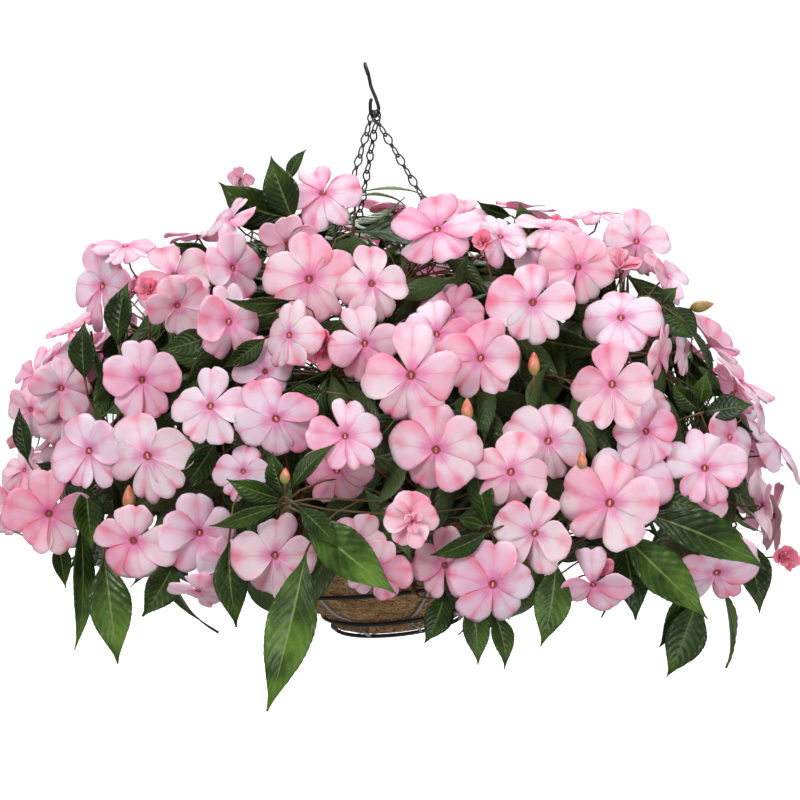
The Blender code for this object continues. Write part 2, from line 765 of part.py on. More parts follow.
def listedLeaf(row):
    toward = viewAxes()[2]
    base = onMound(row.across, row.down, row.layer)
    start, along = sightLine(row.tipAcross, row.tipDown)
    tip = start + along * np.linalg.norm(base - start)
    axis = unit(tip - base)
    turn = math.radians(row.face)
    flat = unit(np.cross(axis, toward))
    side = flat * math.cos(turn) + np.cross(flat, axis) * math.sin(turn)
    width = row.width * np.linalg.norm(base - start) / viewFocal / max(math.cos(turn), 0.35)
    return dict(kind="leaf", base=base, tip=tip, side=side, width=width, arch=0.05)


def growListed(plant):
    """The flowers and leaves of the two lists, each moved along its line of sight only."""
    missed = []
    for row in frontBlooms + frontLeaves:
        item = listedLeaf(row) if isinstance(row, Leaf) else listedBloom(row)
        place = item["base"] if item["kind"] == "leaf" else item["centre"]
        along = sightLine(row.across, row.down)[1]
        found = plant.settle(item, plant.nearest(place, stemTries), depthShifts, along, fusing=True)
        if found:
            plant.add(found)
        else:
            missed.append(row)
    return missed


def growBack(plant, rng):
    """Flowers over the sides, the top and the back, on a golden-angle spiral."""
    toward = viewAxes()[2]
    grown = 0
    for i in range(spiralCount):
        polar = math.acos(1 - spiralDepth * (i + 0.5) / spiralCount)
        azimuth = i * goldenAngle
        centre, outward = moundPoint(polar, azimuth, rng.uniform(*backInsets))
        heading = unit(outward + np.array((0, 0, backRise)) + rng.normal(0, backTurn, 3))
        up = np.array((0, 0, 1.0)) + rng.normal(0, backSpin, 3)
        top = unit(up - heading * (up @ heading))
        kind = "young" if rng.random() < youngShare else "open"
        width = rng.uniform(*backWidths) * (youngWidth if kind == "young" else 1.0)
        near = [np.linalg.norm(other["centre"] - centre) for other in plant.items if other["kind"] != "leaf"]
        if grown >= backBloomCount or outward @ toward > backToward or min(near) < backSpacing:
            continue
        item = dict(kind=kind, centre=centre, heading=heading, top=top, width=width, notched=False)
        found = plant.settle(item, plant.nearest(centre, 4), (0, 0.006, 0.012), -outward)
        if found:
            plant.add(found)
            grown += 1
    return grown


def growFill(plant, rng, wanted):
    """Leaves in a spiral down the stems, kept where there is room and the list gives none."""
    toward = viewAxes()[2]
    grown = 0
    for index in range(spotCount):
        for node, spots in enumerate(plant.spots):
            turn = index * goldenAngle + node
            spread, length = rng.uniform(*fillSpreads), rng.uniform(*fillLengths)
            width, arch = length * rng.uniform(*fillWidths), rng.uniform(*fillArches)
            tilt = rng.normal(0, fillTilt, 3)
            if grown >= wanted or index in plant.taken[node]:
                continue
            spot, rise = spots[index]
            flat = unit(np.cross(rise, np.eye(3)[np.abs(rise).argmin()]))
            around = flat * math.cos(turn) + np.cross(rise, flat) * math.sin(turn)
            way = unit(rise * math.cos(spread) + around * math.sin(spread) + np.array((0, 0, fillRise)))
            base = spot + way * petiole
            tip = base + way * length + np.array((0, 0, -fillDroop * length))
            outside = moundLevel(tip[None], -fillOutside)[0] > 1
            if outside or unit(tip - moundCentre) @ toward > fillToward:
                continue
            side = unit(np.cross(way, rise + np.array((0, 0, 0.3))) + tilt)
            stalk = (spot, spot + way * 0.3 * petiole, base - unit(tip - base) * 0.3 * petiole, base)
            item = dict(kind="leaf", base=base, tip=tip, side=side, width=width, arch=arch)
            item.update(node=node, spot=index, stalk=stalk)
            if plant.thicket.met(bodyShape(item, clearance), None, "body"):
                continue
            if plant.thicket.met(stalkShape(item, clearance), node, "stalk") or crossesItself(item):
                continue
            plant.add(item)
            grown += 1
    return grown


def growPlant():
    """Every flower, bud and leaf, with the stem that carries it."""
    rng = np.random.default_rng(randomSeed)
    plant = Plant()
    missed = growListed(plant)
    back = growBack(plant, rng)
    fill = growFill(plant, rng, fillLeafCount)
    print(f"{len(plant.items)} pieces, {back} back flowers, {fill} fill leaves, missed {missed}")
    return plant.stems, plant.items


# Metal parts


def hookLine():
    """The hook's centre line: an open arch over the bracket, a shank and a U for the chains."""
    arch = hookArch + hookRod / 2
    turns = np.radians(np.linspace(hookOpening, 0, 9))
    over = np.array([(0, arch * math.cos(a), -hookArch + arch * math.sin(a)) for a in turns])
    way = np.array((math.cos(hookBendTurn), math.sin(hookBendTurn), 0))
    down = np.array((0, 0, -1.0))
    bends = np.radians(np.linspace(90, -90, 9))
    under = np.array([hookBendCentre + hookBend * (math.sin(a) * way + math.cos(a) * down) for a in bends])
    shank = curve(over[-1], over[-1] + down * 0.010, under[0] - down * 0.008, under[0], 6)[1:-1]
    end = under[-1] - down * 0.0085
    return np.vstack((over, shank, under, end))


def chainLines():
    """Centre of each chain's top and bottom seat: inside the hook's U and round the rim."""
    way = np.array((math.cos(hookBendTurn), math.sin(hookBendTurn), 0))
    lines = []
    for azimuth, seat in zip(chainAzimuths, chainSeats):
        bend, turn = math.radians(seat), math.radians(azimuth)
        top = hookBendCentre + hookBend * (math.sin(bend) * way + math.cos(bend) * np.array((0, 0, -1.0)))
        radius = bowlRadius(rimHeight)
        bottom = inBasket((radius * math.cos(turn), radius * math.sin(turn), rimHeight))
        lines.append((top, bottom))
    return lines


def chainLinks(index):
    """Centre, way along and way across of each link, turned a quarter from one to the next."""
    start, end = chainLines()[index]
    along = unit(end - start)
    wire = linkWire / 2
    start = start - along * (hookRod / 2 + wire + gap * 1.6)
    end = end + along * (rimWire / 2 + wire + gap * 1.6)
    span = np.linalg.norm(end - start)
    rod = np.array((math.cos(hookBendTurn), math.sin(hookBendTurn), 0))
    first = unit(np.cross(along, rod))
    turn = math.radians(chainAzimuths[index])
    rim = basketFrame() @ np.array((-math.sin(turn), math.cos(turn), 0))
    last = unit(np.cross(along, rim))
    count = round((span - wire) / linkPitch)
    other = np.cross(along, first)
    swing = math.atan2(last @ other, last @ first)
    quarter = (count - 1) * math.pi / 2
    slack = (swing - quarter + math.pi / 2) % math.pi - math.pi / 2
    pitch = (span - 0.0004) / count
    half = pitch / 2 + 0.0002
    links = []
    for i in range(count):
        centre = start + along * (half + i * pitch)
        angle = i * (math.pi / 2 + slack / (count - 1))
        links.append((centre, along, first * math.cos(angle) + other * math.sin(angle), half))
    return links


def linkShape(centre, along, across, half):
    corners = (
        (half, linkHalfEnd),
        (0, linkHalfWidth),
        (-half, linkHalfEnd),
        (-half, -linkHalfEnd),
        (0, -linkHalfWidth),
        (half, -linkHalfEnd),
    )
    path = [centre + along * a + across * b for a, b in corners]
    return hoop(path, linkWire / 2, 3, np.cross(across, along))


def circle(radius, height, count):
    """Corners of one round wire, the first of them where the first chain hangs."""
    turns = np.arange(count) * math.tau / count + math.radians(chainAzimuths[0])
    corners = (radius * np.cos(turns), radius * np.sin(turns), np.full(count, height))
    return inBasket(np.stack(corners, axis=1))


def ribLine(index):
    """One rib: down inside the rings from the rim to the base ring, veering to the right."""
    heights, turns = np.array(ribTurns[::-1]).T
    levels = (0.126, 0.105, 0.080, 0.050, 0.028, 0.0125, 0.004, 0.0)
    inner = basketSphere - ringWire / 2 - ribWire / 2 + 0.0009
    points = []
    for height in levels:
        angle = ribFirst + math.tau * index / ribCount + math.radians(np.interp(height, heights, turns))
        radius = bowlRadius(height, inner)
        if height < 0.010:
            radius = baseRadius + (0.004 if height else 0.0)
        if height > rimHeight:
            radius = bowlRadius(rimHeight)
        points.append((radius * math.cos(angle), radius * math.sin(angle), height))
    return inBasket(points)


# Building the objects


def makeMaterial(name, colour, roughness, metallic=0.0):
    material = bpy.data.materials.new(name)
    material.use_nodes = True
    shader = material.node_tree.nodes["Principled BSDF"]
    shader.inputs["Base Color"].default_value = (*colour, 1)
    shader.inputs["Roughness"].default_value = roughness
    shader.inputs["Metallic"].default_value = metallic
    material.diffuse_color = (*colour, 1)
    return material


def makeObject(name, shape, material, collection=None):
    verts, faces = shape
    mesh = bpy.data.meshes.new(name)
    mesh.from_pydata([tuple(v) for v in verts], [], [tuple(f) for f in faces])
    work = bmesh.new()
    work.from_mesh(mesh)
    bmesh.ops.recalc_face_normals(work, faces=work.faces)
    work.to_mesh(mesh)
    work.free()
    mesh.materials.append(material)
    result = bpy.data.objects.new(name, mesh)
    (collection or bpy.context.scene.collection).objects.link(result)
    return result


def applyModifiers(target):
    graph = bpy.context.evaluated_depsgraph_get()
    graph.update()
    mesh = bpy.data.meshes.new_from_object(target.evaluated_get(graph))
    old = target.data
    target.modifiers.clear()
    target.data = mesh
    bpy.data.meshes.remove(old)
    mesh.name = target.name


def looseParts(work):
    """Groups of faces that hold together along their edges, the largest last."""
    left, groups = set(work.faces), []
    while left:
        seed = left.pop()
        group, queue = [seed], [seed]
        while queue:
            for edge in queue.pop().edges:
                for face in edge.link_faces:
                    if face in left:
                        left.remove(face)
                        group.append(face)
                        queue.append(face)
        groups.append(group)
    return sorted(groups, key=len)


def cleanMesh(target, weld):
    """Welds and triangulates a union, drops its scraps, and says whether it is one closed body."""
    work = bmesh.new()
    work.from_mesh(target.data)
    if weld:
        bmesh.ops.remove_doubles(work, verts=work.verts, dist=2e-6)
        bmesh.ops.dissolve_degenerate(work, edges=work.edges, dist=2e-6)
    groups = looseParts(work)
    whole = sum(len(group) for group in groups[:-1]) <= mostScrapFaces
    for group in groups[:-1]:
        bmesh.ops.delete(work, geom=group, context="FACES")
    bmesh.ops.delete(work, geom=[vert for vert in work.verts if not vert.link_faces], context="VERTS")
    bmesh.ops.triangulate(work, faces=work.faces)
    whole = whole and all(edge.is_manifold and edge.is_contiguous for edge in work.edges)
    work.to_mesh(target.data)
    work.free()
    return whole


def unite(name, shapes, solver, weld):
    helpers = bpy.data.collections.new(name + "_parts")
    bpy.context.scene.collection.children.link(helpers)
    base = makeObject(name, *shapes[0])
    for i, (shape, material) in enumerate(shapes[1:]):
        makeObject(f"{name}_part_{i}", shape, material, helpers)
    union = base.modifiers.new("Fuse", "BOOLEAN")
    union.operation = "UNION"
    union.operand_type = "COLLECTION"
    union.collection = helpers
    union.solver = solver
    union.material_mode = "TRANSFER"
    applyModifiers(base)
    for helper in list(helpers.objects):
        bpy.data.objects.remove(helper)
    bpy.data.collections.remove(helpers)
    return base, cleanMesh(base, weld)


def fuse(name, shapes):
    """One solid from overlapping ones, given as pairs of a shape and a material."""
    for solver, weld in (("EXACT", True), ("EXACT", False), ("MANIFOLD", False), ("MANIFOLD", True)):
        base, whole = unite(name, shapes, solver, weld)
        if whole:
            return base
        print(f"{name}: {solver} {'with' if weld else 'without'} a weld left it in pieces")
        bpy.data.objects.remove(base)
    raise RuntimeError(f"{name} can't be made one closed body")


def latheShape(profile, count):
    """A turned solid from (radius, height) pairs in the basket's frame: poles at radius 0."""
    turns = np.arange(count) * math.tau / count
    verts, faces, starts = [], [], []
    for radius, height in profile:
        starts.append(len(verts))
        angles = turns if radius > 0 else turns[:1]
        verts += [(radius * math.cos(a), radius * math.sin(a), height) for a in angles]
    pairs = list(zip(profile, starts))
    for ((ra, _), a), ((rb, _), b) in zip(pairs, pairs[1:]):
        for j in range(count):
            k = (j + 1) % count
            if ra > 0 and rb > 0:
                faces.append((a + j, a + k, b + k, b + j))
            elif ra > 0:
                faces.append((a + j, a + k, b))
            elif rb > 0:
                faces.append((a, b + k, b + j))
    return inBasket(verts), faces


linerOuter = basketSphere - ringWire / 2 - ribWire + 0.0009 - gap * 2
linerInner = linerOuter - linerThickness
linerLevels = (0.0155, 0.028, 0.052, 0.086, rimHeight - 0.002)


def linerRadius(height):
    """Inside radius of the faceted liner at a height above the base ring."""
    return float(np.interp(height, linerLevels, [bowlRadius(level, linerInner) for level in linerLevels]))


def buildLiner(material):
    profile = [(0, basketSphere - linerOuter)]
    profile += [(bowlRadius(h, linerOuter), h) for h in (0.010, *linerLevels[1:-1], rimHeight - 0.004)]
    profile += [(linerRadius(h), h) for h in linerLevels[::-1]]
    profile += [(0, basketSphere - linerInner)]
    return makeObject("coir_liner", latheShape(profile, sides), material)


def buildSoil(material, stems):
    """Potting mix that fills the liner, with a plain hole for each stem."""
    profile = [(0, basketSphere - linerInner + gap)]
    profile += [(linerRadius(h) - gap, h + gap) for h in (0.0165, *linerLevels[1:-1], soilHeight - 0.008)]
    profile += [(0.10, soilHeight - 0.002), (0.05, soilHeight + soilMound * 0.6), (0, soilHeight + soilMound)]
    soil = makeObject("potting_soil", latheShape(profile, sides), material)
    helpers = bpy.data.collections.new("soil_holes")
    bpy.context.scene.collection.children.link(helpers)
    for i, stem in enumerate(stems):
        way = unit(stem[1] - stem[0])
        path = [stem[0] - way * gap * 2, stem[0] + way * (plantingDepth + 0.03)]
        makeObject(f"soil_hole_{i}", tube(path, (stemRadius + gap) * math.sqrt(2), 4), material, helpers)
    cut = soil.modifiers.new("Holes", "BOOLEAN")
    cut.operation = "DIFFERENCE"
    cut.operand_type = "COLLECTION"
    cut.collection = helpers
    cut.solver = "EXACT"
    applyModifiers(soil)
    for helper in list(helpers.objects):
        bpy.data.objects.remove(helper)
    bpy.data.collections.remove(helpers)
    cleanMesh(soil, True)
    return soil


def buildBasket(material):
    upright = basketFrame()[:, 2]
    shapes = [(hoop(circle(bowlRadius(rimHeight), rimHeight, 27), rimWire / 2, 4, upright), material)]
    for height, count in zip(ringHeights, (21, 18, 15)):
        shapes.append((hoop(circle(bowlRadius(height), height, count), ringWire / 2, 4, upright), material))
    shapes.append((hoop(circle(baseRadius, 0, 15), ringWire / 2, 4, upright), material))
    for i in range(ribCount):
        shapes.append((tube(ribLine(i), ribWire / 2, 3), material))
    return fuse("wire_basket", shapes)


def clearScene():
    for old in list(bpy.data.objects):
        bpy.data.objects.remove(old)


def main():
    clearScene()
    black = makeMaterial("black_wire", (0.012, 0.012, 0.013), 0.38, 0.0)
    steel = makeMaterial("dark_chain", (0.05, 0.05, 0.055), 0.42, 0.8)
    coir = makeMaterial("coir", (0.20, 0.105, 0.045), 0.95)
    earth = makeMaterial("potting_mix", (0.030, 0.020, 0.013), 0.95)
    petal = makeMaterial("petal", (0.83, 0.42, 0.56), 0.55)
    green = makeMaterial("leaf", (0.035, 0.10, 0.022), 0.38)
    stemRed = makeMaterial("stem", (0.17, 0.09, 0.035), 0.5)

    stems, items = growPlant()
    makeObject("hook", tube(hookLine(), hookRod / 2, 5), black)
    for i in range(len(chainAzimuths)):
        links = chainLinks(i)
        fuse(f"chain_{i + 1}", [(linkShape(*link), steel) for link in links])
    buildBasket(black)
    buildLiner(coir)
    buildSoil(earth, stems)
    for node, stem in enumerate(stems):
        shapes = [(tube(stem, stemRadii(stem), 3), stemRed)]
        for item in (item for item in items if item["node"] == node):
            shapes.append((pieceShape(item), green if item["kind"] == "leaf" else petal))
        fuse(f"flowering_stem_{node + 1:02d}", shapes)


main()
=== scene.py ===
# New guinea impatiens in a wire hanging basket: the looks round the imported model.
# Metres, +Z up. The origin is the underside of the hook's arch, +X is to the viewer's
# right and +Y away from the viewer. The growth below repeats the part's own, so each
# flower, leaf and stem lies where its solid is.
import math
from collections import namedtuple
from itertools import product

import bpy
import numpy as np
from mathutils.bvhtree import BVHTree
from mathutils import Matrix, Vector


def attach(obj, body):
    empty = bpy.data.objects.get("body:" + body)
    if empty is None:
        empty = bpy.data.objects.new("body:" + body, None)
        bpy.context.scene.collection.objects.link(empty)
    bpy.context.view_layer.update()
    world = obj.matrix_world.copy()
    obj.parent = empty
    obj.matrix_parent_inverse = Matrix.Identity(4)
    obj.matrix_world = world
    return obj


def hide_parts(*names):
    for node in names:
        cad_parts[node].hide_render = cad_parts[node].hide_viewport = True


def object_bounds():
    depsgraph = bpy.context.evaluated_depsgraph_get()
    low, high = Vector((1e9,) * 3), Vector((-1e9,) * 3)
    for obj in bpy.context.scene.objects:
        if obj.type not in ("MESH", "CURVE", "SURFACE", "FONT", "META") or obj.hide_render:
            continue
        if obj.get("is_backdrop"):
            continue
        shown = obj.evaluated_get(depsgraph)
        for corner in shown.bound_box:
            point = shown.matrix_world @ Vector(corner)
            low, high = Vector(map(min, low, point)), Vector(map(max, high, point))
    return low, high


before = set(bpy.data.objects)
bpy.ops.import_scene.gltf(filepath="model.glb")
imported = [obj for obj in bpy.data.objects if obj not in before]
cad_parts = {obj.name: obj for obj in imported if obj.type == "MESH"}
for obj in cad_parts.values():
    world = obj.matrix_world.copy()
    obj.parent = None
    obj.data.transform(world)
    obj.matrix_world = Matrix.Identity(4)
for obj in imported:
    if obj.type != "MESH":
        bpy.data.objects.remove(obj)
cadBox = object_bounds()
print("frame loaded")

# The viewpoint that the lists of flowers and leaves are read from: a picture
# 800 wide and 800 high, seen along +Y from a little above.
viewPlan = {
    "target": np.array((0.029, 0.0, -0.283)),
    "distance": 1.9,
    "tilt": math.radians(10),
    "middle": 400,
    "focal": 2222,
    "search": (-0.45, 0.35, 0.002),
}
# Right, up and toward the viewer, as seen in the picture
viewRight = np.array((1.0, 0.0, 0.0))
viewUp = np.array((0.0, math.sin(viewPlan["tilt"]), math.cos(viewPlan["tilt"])))
toward = np.array((0.0, -math.cos(viewPlan["tilt"]), math.sin(viewPlan["tilt"])))
eyePoint = viewPlan["target"] + viewPlan["distance"] * toward
hookPlan = {
    "rod": 0.003,
    "arch": 0.012,
    "opening": 160,
    "bend": 0.0068,
    "bendCentre": np.array((0.0077, 0.0, -0.0355)),
    "bendTurn": math.radians(60),
}
bendWay = np.array((math.cos(hookPlan["bendTurn"]), math.sin(hookPlan["bendTurn"]), 0))
chainPlan = {
    "azimuths": (-8, 112, 232),
    "seats": (2, 42, -38),
    "pitch": 0.020,
    "wire": 0.0018,
    "halfWidth": 0.0043,
    "wraps": 2.5,
}
# Every height of the basket is above its base ring
basketPlan = {
    "base": np.array((0.028, 0.0, -0.477)),
    "roll": math.radians(6.3),
    "lean": math.radians(-2.5),
    "sphere": 0.178,
    "rimHeight": 0.125,
    "rimWire": 0.004,
    "ringHeights": (0.088, 0.050, 0.0125),
    "ringWire": 0.0034,
    "baseRadius": 0.056,
    "ribCount": 8,
    "ribWire": 0.0026,
    "ribFirst": math.radians(-124),
    "ribTurns": ((0.125, 4), (0.050, 4), (0.0125, 0), (0.0, 9)),
    "ribLevels": (0.126, 0.105, 0.080, 0.050, 0.028, 0.0125, 0.004, 0.0),
}
soilPlan = {"height": 0.114, "mound": 0.012, "planting": 0.022, "linerThickness": 0.010}
gap = 0.0003

# The mound of foliage and flowers
moundPlan = {
    "centre": np.array((0.031, 0.0, -0.378)),
    "half": np.array((0.335, 0.30, 0.0)),
    "up": 0.290,
    "down": 0.100,
    "powers": (2.0, 2.6),
    "lowInset": 0.5,
    "stemLowInset": 0.4,
    "layer": 0.022,
}
# Flowering stems: the polar angle of each row of tips, and their azimuths
stemPlan = {
    "rows": (
        (22, (-90, 30, 150)),
        (50, (-152, -105, -62, -32, 20, 70, 150)),
        (77, (-152, -108, -86, -64, -44, -26, 16, 52, 90, 135, 178)),
        (103, (-152, -110, -88, -65, -38, 12, 48, 90, 138, 180)),
    ),
    "inset": 0.070,
    "roots": (0.026, 0.034),
    "rise": 0.38,
    "rowRise": 0.012,
    "rowDroop": 0.35,
    "run": 0.30,
    "radius": 0.0040,
    "tipRadius": 0.0022,
    "points": 6,
    "spotStep": 0.006,
    "spotCount": 26,
}
stalkPlan = {
    "radius": 0.0012,
    "bends": ((0.30, 0.25), (0.15, 0.05), (0.50, 0.45)),
    "points": 3,
    "petiolePoints": 2,
    "petiole": 0.014,
}
# Leaves: how far along and how wide each section is, and how far the edges fold up
leafPlan = {"stations": ((0.76, 0.62), (0.40, 1.0)), "fold": 0.18, "thickness": 0.0011}
# Flowers: the five petals from the top one round, with their reach and their lift
petalPlan = {
    "cup": {"open": -0.03, "young": 0.20},
    "turns": (0, 72, 144, 216, 288),
    "lobeTurn": 23,
    "valley": 0.33,
    "notch": 0.87,
    "lengths": (0.47, 0.50, 0.50, 0.50, 0.50),
    "lifts": (-0.030, 0.022, -0.006, -0.006, 0.022),
}
# Room that growth keeps round the basket, each chain and the hook
guardPlan = {"basket": 0.006, "chain": 0.008, "hook": 0.018}
# How growth searches: the room between pieces, and how many stems, spots and depths it tries
growthPlan = {
    "clearance": 0.0010,
    "stemTries": 7,
    "spotTries": 6,
    "seed": 11,
    "goldenAngle": math.radians(137.508),
    "shifts": [0.006 * step for step in (0, 1, -1, 2, -2, 3, -3, 4, 5, -4, 6, 7, 8, 10, 12)],
}
# Flowers over the sides, the top and the back
backPlan = {
    "spiral": 230,
    "depth": 1.28,
    "count": 42,
    "spacing": 0.062,
    "insets": (0.0, 0.016),
    "widths": (0.058, 0.070),
    "rise": 0.30,
    "turn": 0.22,
    "spin": 0.25,
    "toward": 0.12,
    "young": 0.12,
    "youngWidth": 0.8,
}
# Leaves down the stems
fillPlan = {
    "count": 64,
    "spreads": (0.9, 1.6),
    "lengths": (0.080, 0.120),
    "widths": (0.30, 0.38),
    "arches": (0.03, 0.09),
    "tilt": 0.15,
    "rise": 0.10,
    "droop": 0.18,
    "petiole": 1.0,
    "bend": 0.3,
    "toward": 0.45,
    "outside": 0.02,
}

brightLeaves = {(306, 552): 0.62, (300, 512): 0.66, (104, 555): 0.5, (622, 535): 0.12}

Bloom = namedtuple("Bloom", "across down width turn tip spin layer kind", defaults=(0, 0, 0, 0, "open"))
Leaf = namedtuple("Leaf", "across down tipAcross tipDown width face layer")

# Flowers seen from the front: eye, width, heading right and up in degrees, the turn of
# the top petal, how many layers deep it sits, and the kind. What is left out is 0 or open.
frontBlooms = (
    (411, 375, 94, 0, 0, 0, -0.5),
    (610, 503, 92, 0, 0, 10, -0.3),
    (309, 279, 86, 0, 5),
    (533, 302, 84, 0, 5, 0, -0.3),
    (493, 585, 84, 0, -10),
    (142, 380, 78),
    (147, 456, 84, -5, 0, -20),
    (436, 450, 84, 0, 0, -5),
    (511, 472, 80, 0, 0, 15),
    (49, 514, 80, 5, 0, 0, -0.3),
    (133, 541, 80, -5, -5, 10, -0.2),
    (612, 384, 82, -8, 5, 0, -0.4),
    (323, 192, 80, 5, 32, -8),
    (437, 228, 84, -5, 32),
    (276, 419, 80, 0, -5, -25),
    (210, 406, 76, -6, 5, 5, -0.2),
    (365, 343, 74, 5, 15, -8, 0.5),
    (372, 283, 74, 10, 10, 0, 0.2),
    (481, 358, 80, 8, 0, 5, 0.6),
    (535, 534, 78, 0, -15, 20),
    (621, 317, 76, 0, 25),
    (578, 267, 72, 0, 10, 20, 0.4),
    (88, 451, 76, -28, 0, -20, -0.3),
    (705, 468, 78, 5, 10, 5, -0.3),
    (275, 556, 82, 0, -15),
    (200, 533, 78, 12, -5, 0, 0.8),
    (345, 436, 68, 0, 10),
    (412, 521, 60, 0, 0, 0, -0.2, "young"),
    (101, 286, 78, -40, 5, -10),
    (174, 275, 76, 0, 15, -25),
    (230, 322, 76, 38),
    (288, 335, 68, -35, 5),
    (234, 268, 70, 45, 10, -5),
    (322, 345, 54, -5, -5, 0, 0.4, "young"),
    (549, 441, 80, 12, 5, 15, 1.0),
    (444, 566, 70, -25, -15, 0, 0.6),
    (593, 586, 72, 0, -42, 0, 0.2),
    (630, 475, 80, 0, 12, 10, 0.9),
    (646, 431, 68, 0, 10, -10, 0.1),
    (731, 437, 70, 28, 5, 20, 0.2),
    (637, 241, 64, 10, 15, 10),
    (547, 227, 66, 0, 58),
    (501, 236, 58, 18, 28, 5, 0.5),
    (483, 243, 34, 0, 10, 0, -0.6, "young"),
    (230, 218, 60, -45, 42),
    (286, 240, 56, 175, 40, 0, 0.2),
    (125, 245, 62, -10, 64, 0, 0.2),
    (149, 293, 36, 0, 20, 0, -0.4, "young"),
    (178, 306, 58, 20, -10, -20, 0.8),
    (265, 372, 60, -8, -12, 0, 1.4),
    (70, 331, 48, -40, 58),
    (57, 352, 50, -50, 30, 0, 0.6),
    (34, 374, 60, -55, 25),
    (62, 388, 62, 24, 5, 0, 0.3),
    (30, 410, 54, -28),
    (64, 417, 54, 20, -8, 0, 0.9),
    (13, 505, 66, -28, 0, 0, 0.4),
    (24, 470, 46, -20, 12, 0, 0.3),
    (198, 592, 58, -12, -55),
    (226, 564, 50, 18, -20, 0, 1.2),
    (243, 471, 54, -10, 10, 0, 0.8),
    (337, 471, 74, 6, -18, 0, 1.1),
    (357, 539, 56, 18, 0, 30, 1.4),
    (378, 568, 70, 8, -15, 10, 0.9),
    (437, 334, 72, 8, 16, 0, 0.9),
    (452, 311, 62, -5, 20, 10, 1.9),
    (540, 262, 52, 0, 22, 0, 1.0),
    (620, 268, 52, -8, 60, 0, 0.8, "young"),
    (668, 276, 58, 58, 30),
    (660, 356, 60, 72, -10, 0, 0.2),
    (686, 350, 52, 70, 0, 0, 0.6),
    (738, 388, 60, 110, 32),
    (640, 404, 62, 10, 30, -10, 1.0),
    (762, 408, 46, 62, 20, 0, 0.4),
    (700, 510, 56, 0, -28, 0, 0.6),
    (766, 505, 66, 72, 10),
    (781, 557, 38, 15, 0, 0, 0, "young"),
    (717, 574, 82, 8, -38),
    (596, 562, 38, 10, -28, 0, 0.5, "young"),
    (598, 213, 50, -20, 72, 0, 0.3),
    (466, 214, 48, 12, 42, 0, 1.2),
    (241, 178, 46, 165, 30, 0, 0.8),
    (534, 364, 24, 10, 0, 0, 0.2, "bud"),
    (582, 461, 20, 0, 0, 0, 0.2, "bud"),
    (467, 410, 24, 60, 0, 0, 0.2, "bud"),
    (702, 306, 24, 70, 10, 0, 0, "bud"),
    (285, 476, 20, 0, 40, 0, -0.6, "bud"),
    (129, 498, 26, -60, 0, 0, 0.6, "bud"),
)

# Leaves seen from the front: base, tip, width across, degrees turned from
# facing the viewer, and the layer that the base sits in.
frontLeaves = (
    (306, 552, 268, 712, 50, 10, -0.3),
    (300, 512, 397, 593, 46, 15, -0.9),
    (104, 555, 118, 664, 42, 10, 0.3),
    (80, 520, 78, 650, 20, 40, 0.9),
    (176, 560, 143, 617, 34, 20, 0.8),
    (229, 540, 237, 627, 34, 15, 0.4),
    (58, 538, 66, 588, 18, 20, 0.8),
    (445, 590, 425, 644, 30, 15, 1.0),
    (472, 595, 479, 665, 28, 15, 0.6),
    (492, 608, 506, 669, 22, 30, 0.9),
    (556, 560, 542, 647, 38, 15, 0.6),
    (508, 552, 544, 602, 16, 50, 0.5),
    (622, 535, 637, 620, 38, 15, 0.9),
    (620, 532, 709, 618, 44, 15, 0.4),
    (640, 512, 768, 568, 42, 25, 0.1),
    (698, 598, 668, 678, 42, 15, 0.7),
    (684, 590, 661, 648, 24, 30, 1.2),
    (741, 535, 761, 613, 34, 15, 0.5),
    (722, 585, 730, 668, 14, 75, 0.8),
    (292, 218, 218, 183, 42, 20, 0.9),
    (294, 222, 270, 156, 36, 15, 0.5),
    (287, 182, 305, 149, 14, 40, 0.9),
    (352, 232, 486, 238, 34, 45, 1.2),
    (352, 202, 426, 204, 12, 75, 0.6),
    (216, 262, 173, 243, 24, 30, 0.9),
    (534, 243, 519, 203, 26, 15, 0.9),
    (512, 216, 477, 202, 14, 40, 1.0),
    (216, 334, 160, 350, 28, 15, 0.2),
    (294, 300, 226, 301, 14, 55, -0.1),
    (266, 338, 224, 368, 22, 25, 1.0),
    (85, 380, 84, 321, 28, 10, 0.2),
    (118, 345, 127, 282, 30, 20, 1.0),
    (284, 500, 226, 480, 24, 20, -0.5),
    (282, 504, 210, 528, 18, 35, -0.7),
    (280, 508, 240, 566, 24, 25, -0.6),
    (284, 496, 272, 452, 22, 20, -0.2),
    (290, 490, 334, 443, 18, 30, -1.1),
    (298, 506, 338, 547, 24, 20, -1.3),
    (402, 410, 358, 459, 40, 20, -0.1),
    (438, 414, 488, 432, 16, 35, 0.5),
    (490, 530, 470, 448, 26, 15, 0.3),
    (488, 532, 432, 556, 22, 30, 0.9),
    (486, 526, 458, 518, 14, 30, 0.6),
    (602, 350, 514, 332, 34, 35, 0.9),
    (642, 498, 706, 510, 26, 35, 0.9),
    (646, 318, 694, 338, 20, 35, 0.6),
    (668, 306, 698, 340, 22, 30, 0.5),
    (684, 322, 714, 380, 12, 70, 0.2),
    (662, 305, 677, 287, 14, 30, 0.3),
    (700, 412, 672, 384, 22, 20, 0.8),
    (704, 412, 752, 404, 26, 20, 0.8),
    (700, 408, 706, 372, 18, 25, 1.0),
    (326, 392, 280, 400, 26, 20, 0.6),
    (28, 462, 18, 408, 20, 20, 0.3),
    (66, 470, 36, 464, 14, 30, 0.4),
    (86, 484, 92, 548, 30, 20, 0.9),
    (216, 440, 180, 492, 30, 25, 1.4),
    (226, 462, 236, 520, 26, 25, 1.6),
)


def sightLine(across, down):
    # The unit direction of the line of sight from the eye through a point of the picture.
    aside = viewRight * (across - viewPlan["middle"]) / viewPlan["focal"]
    return unit(-toward + aside + viewUp * (viewPlan["middle"] - down) / viewPlan["focal"])


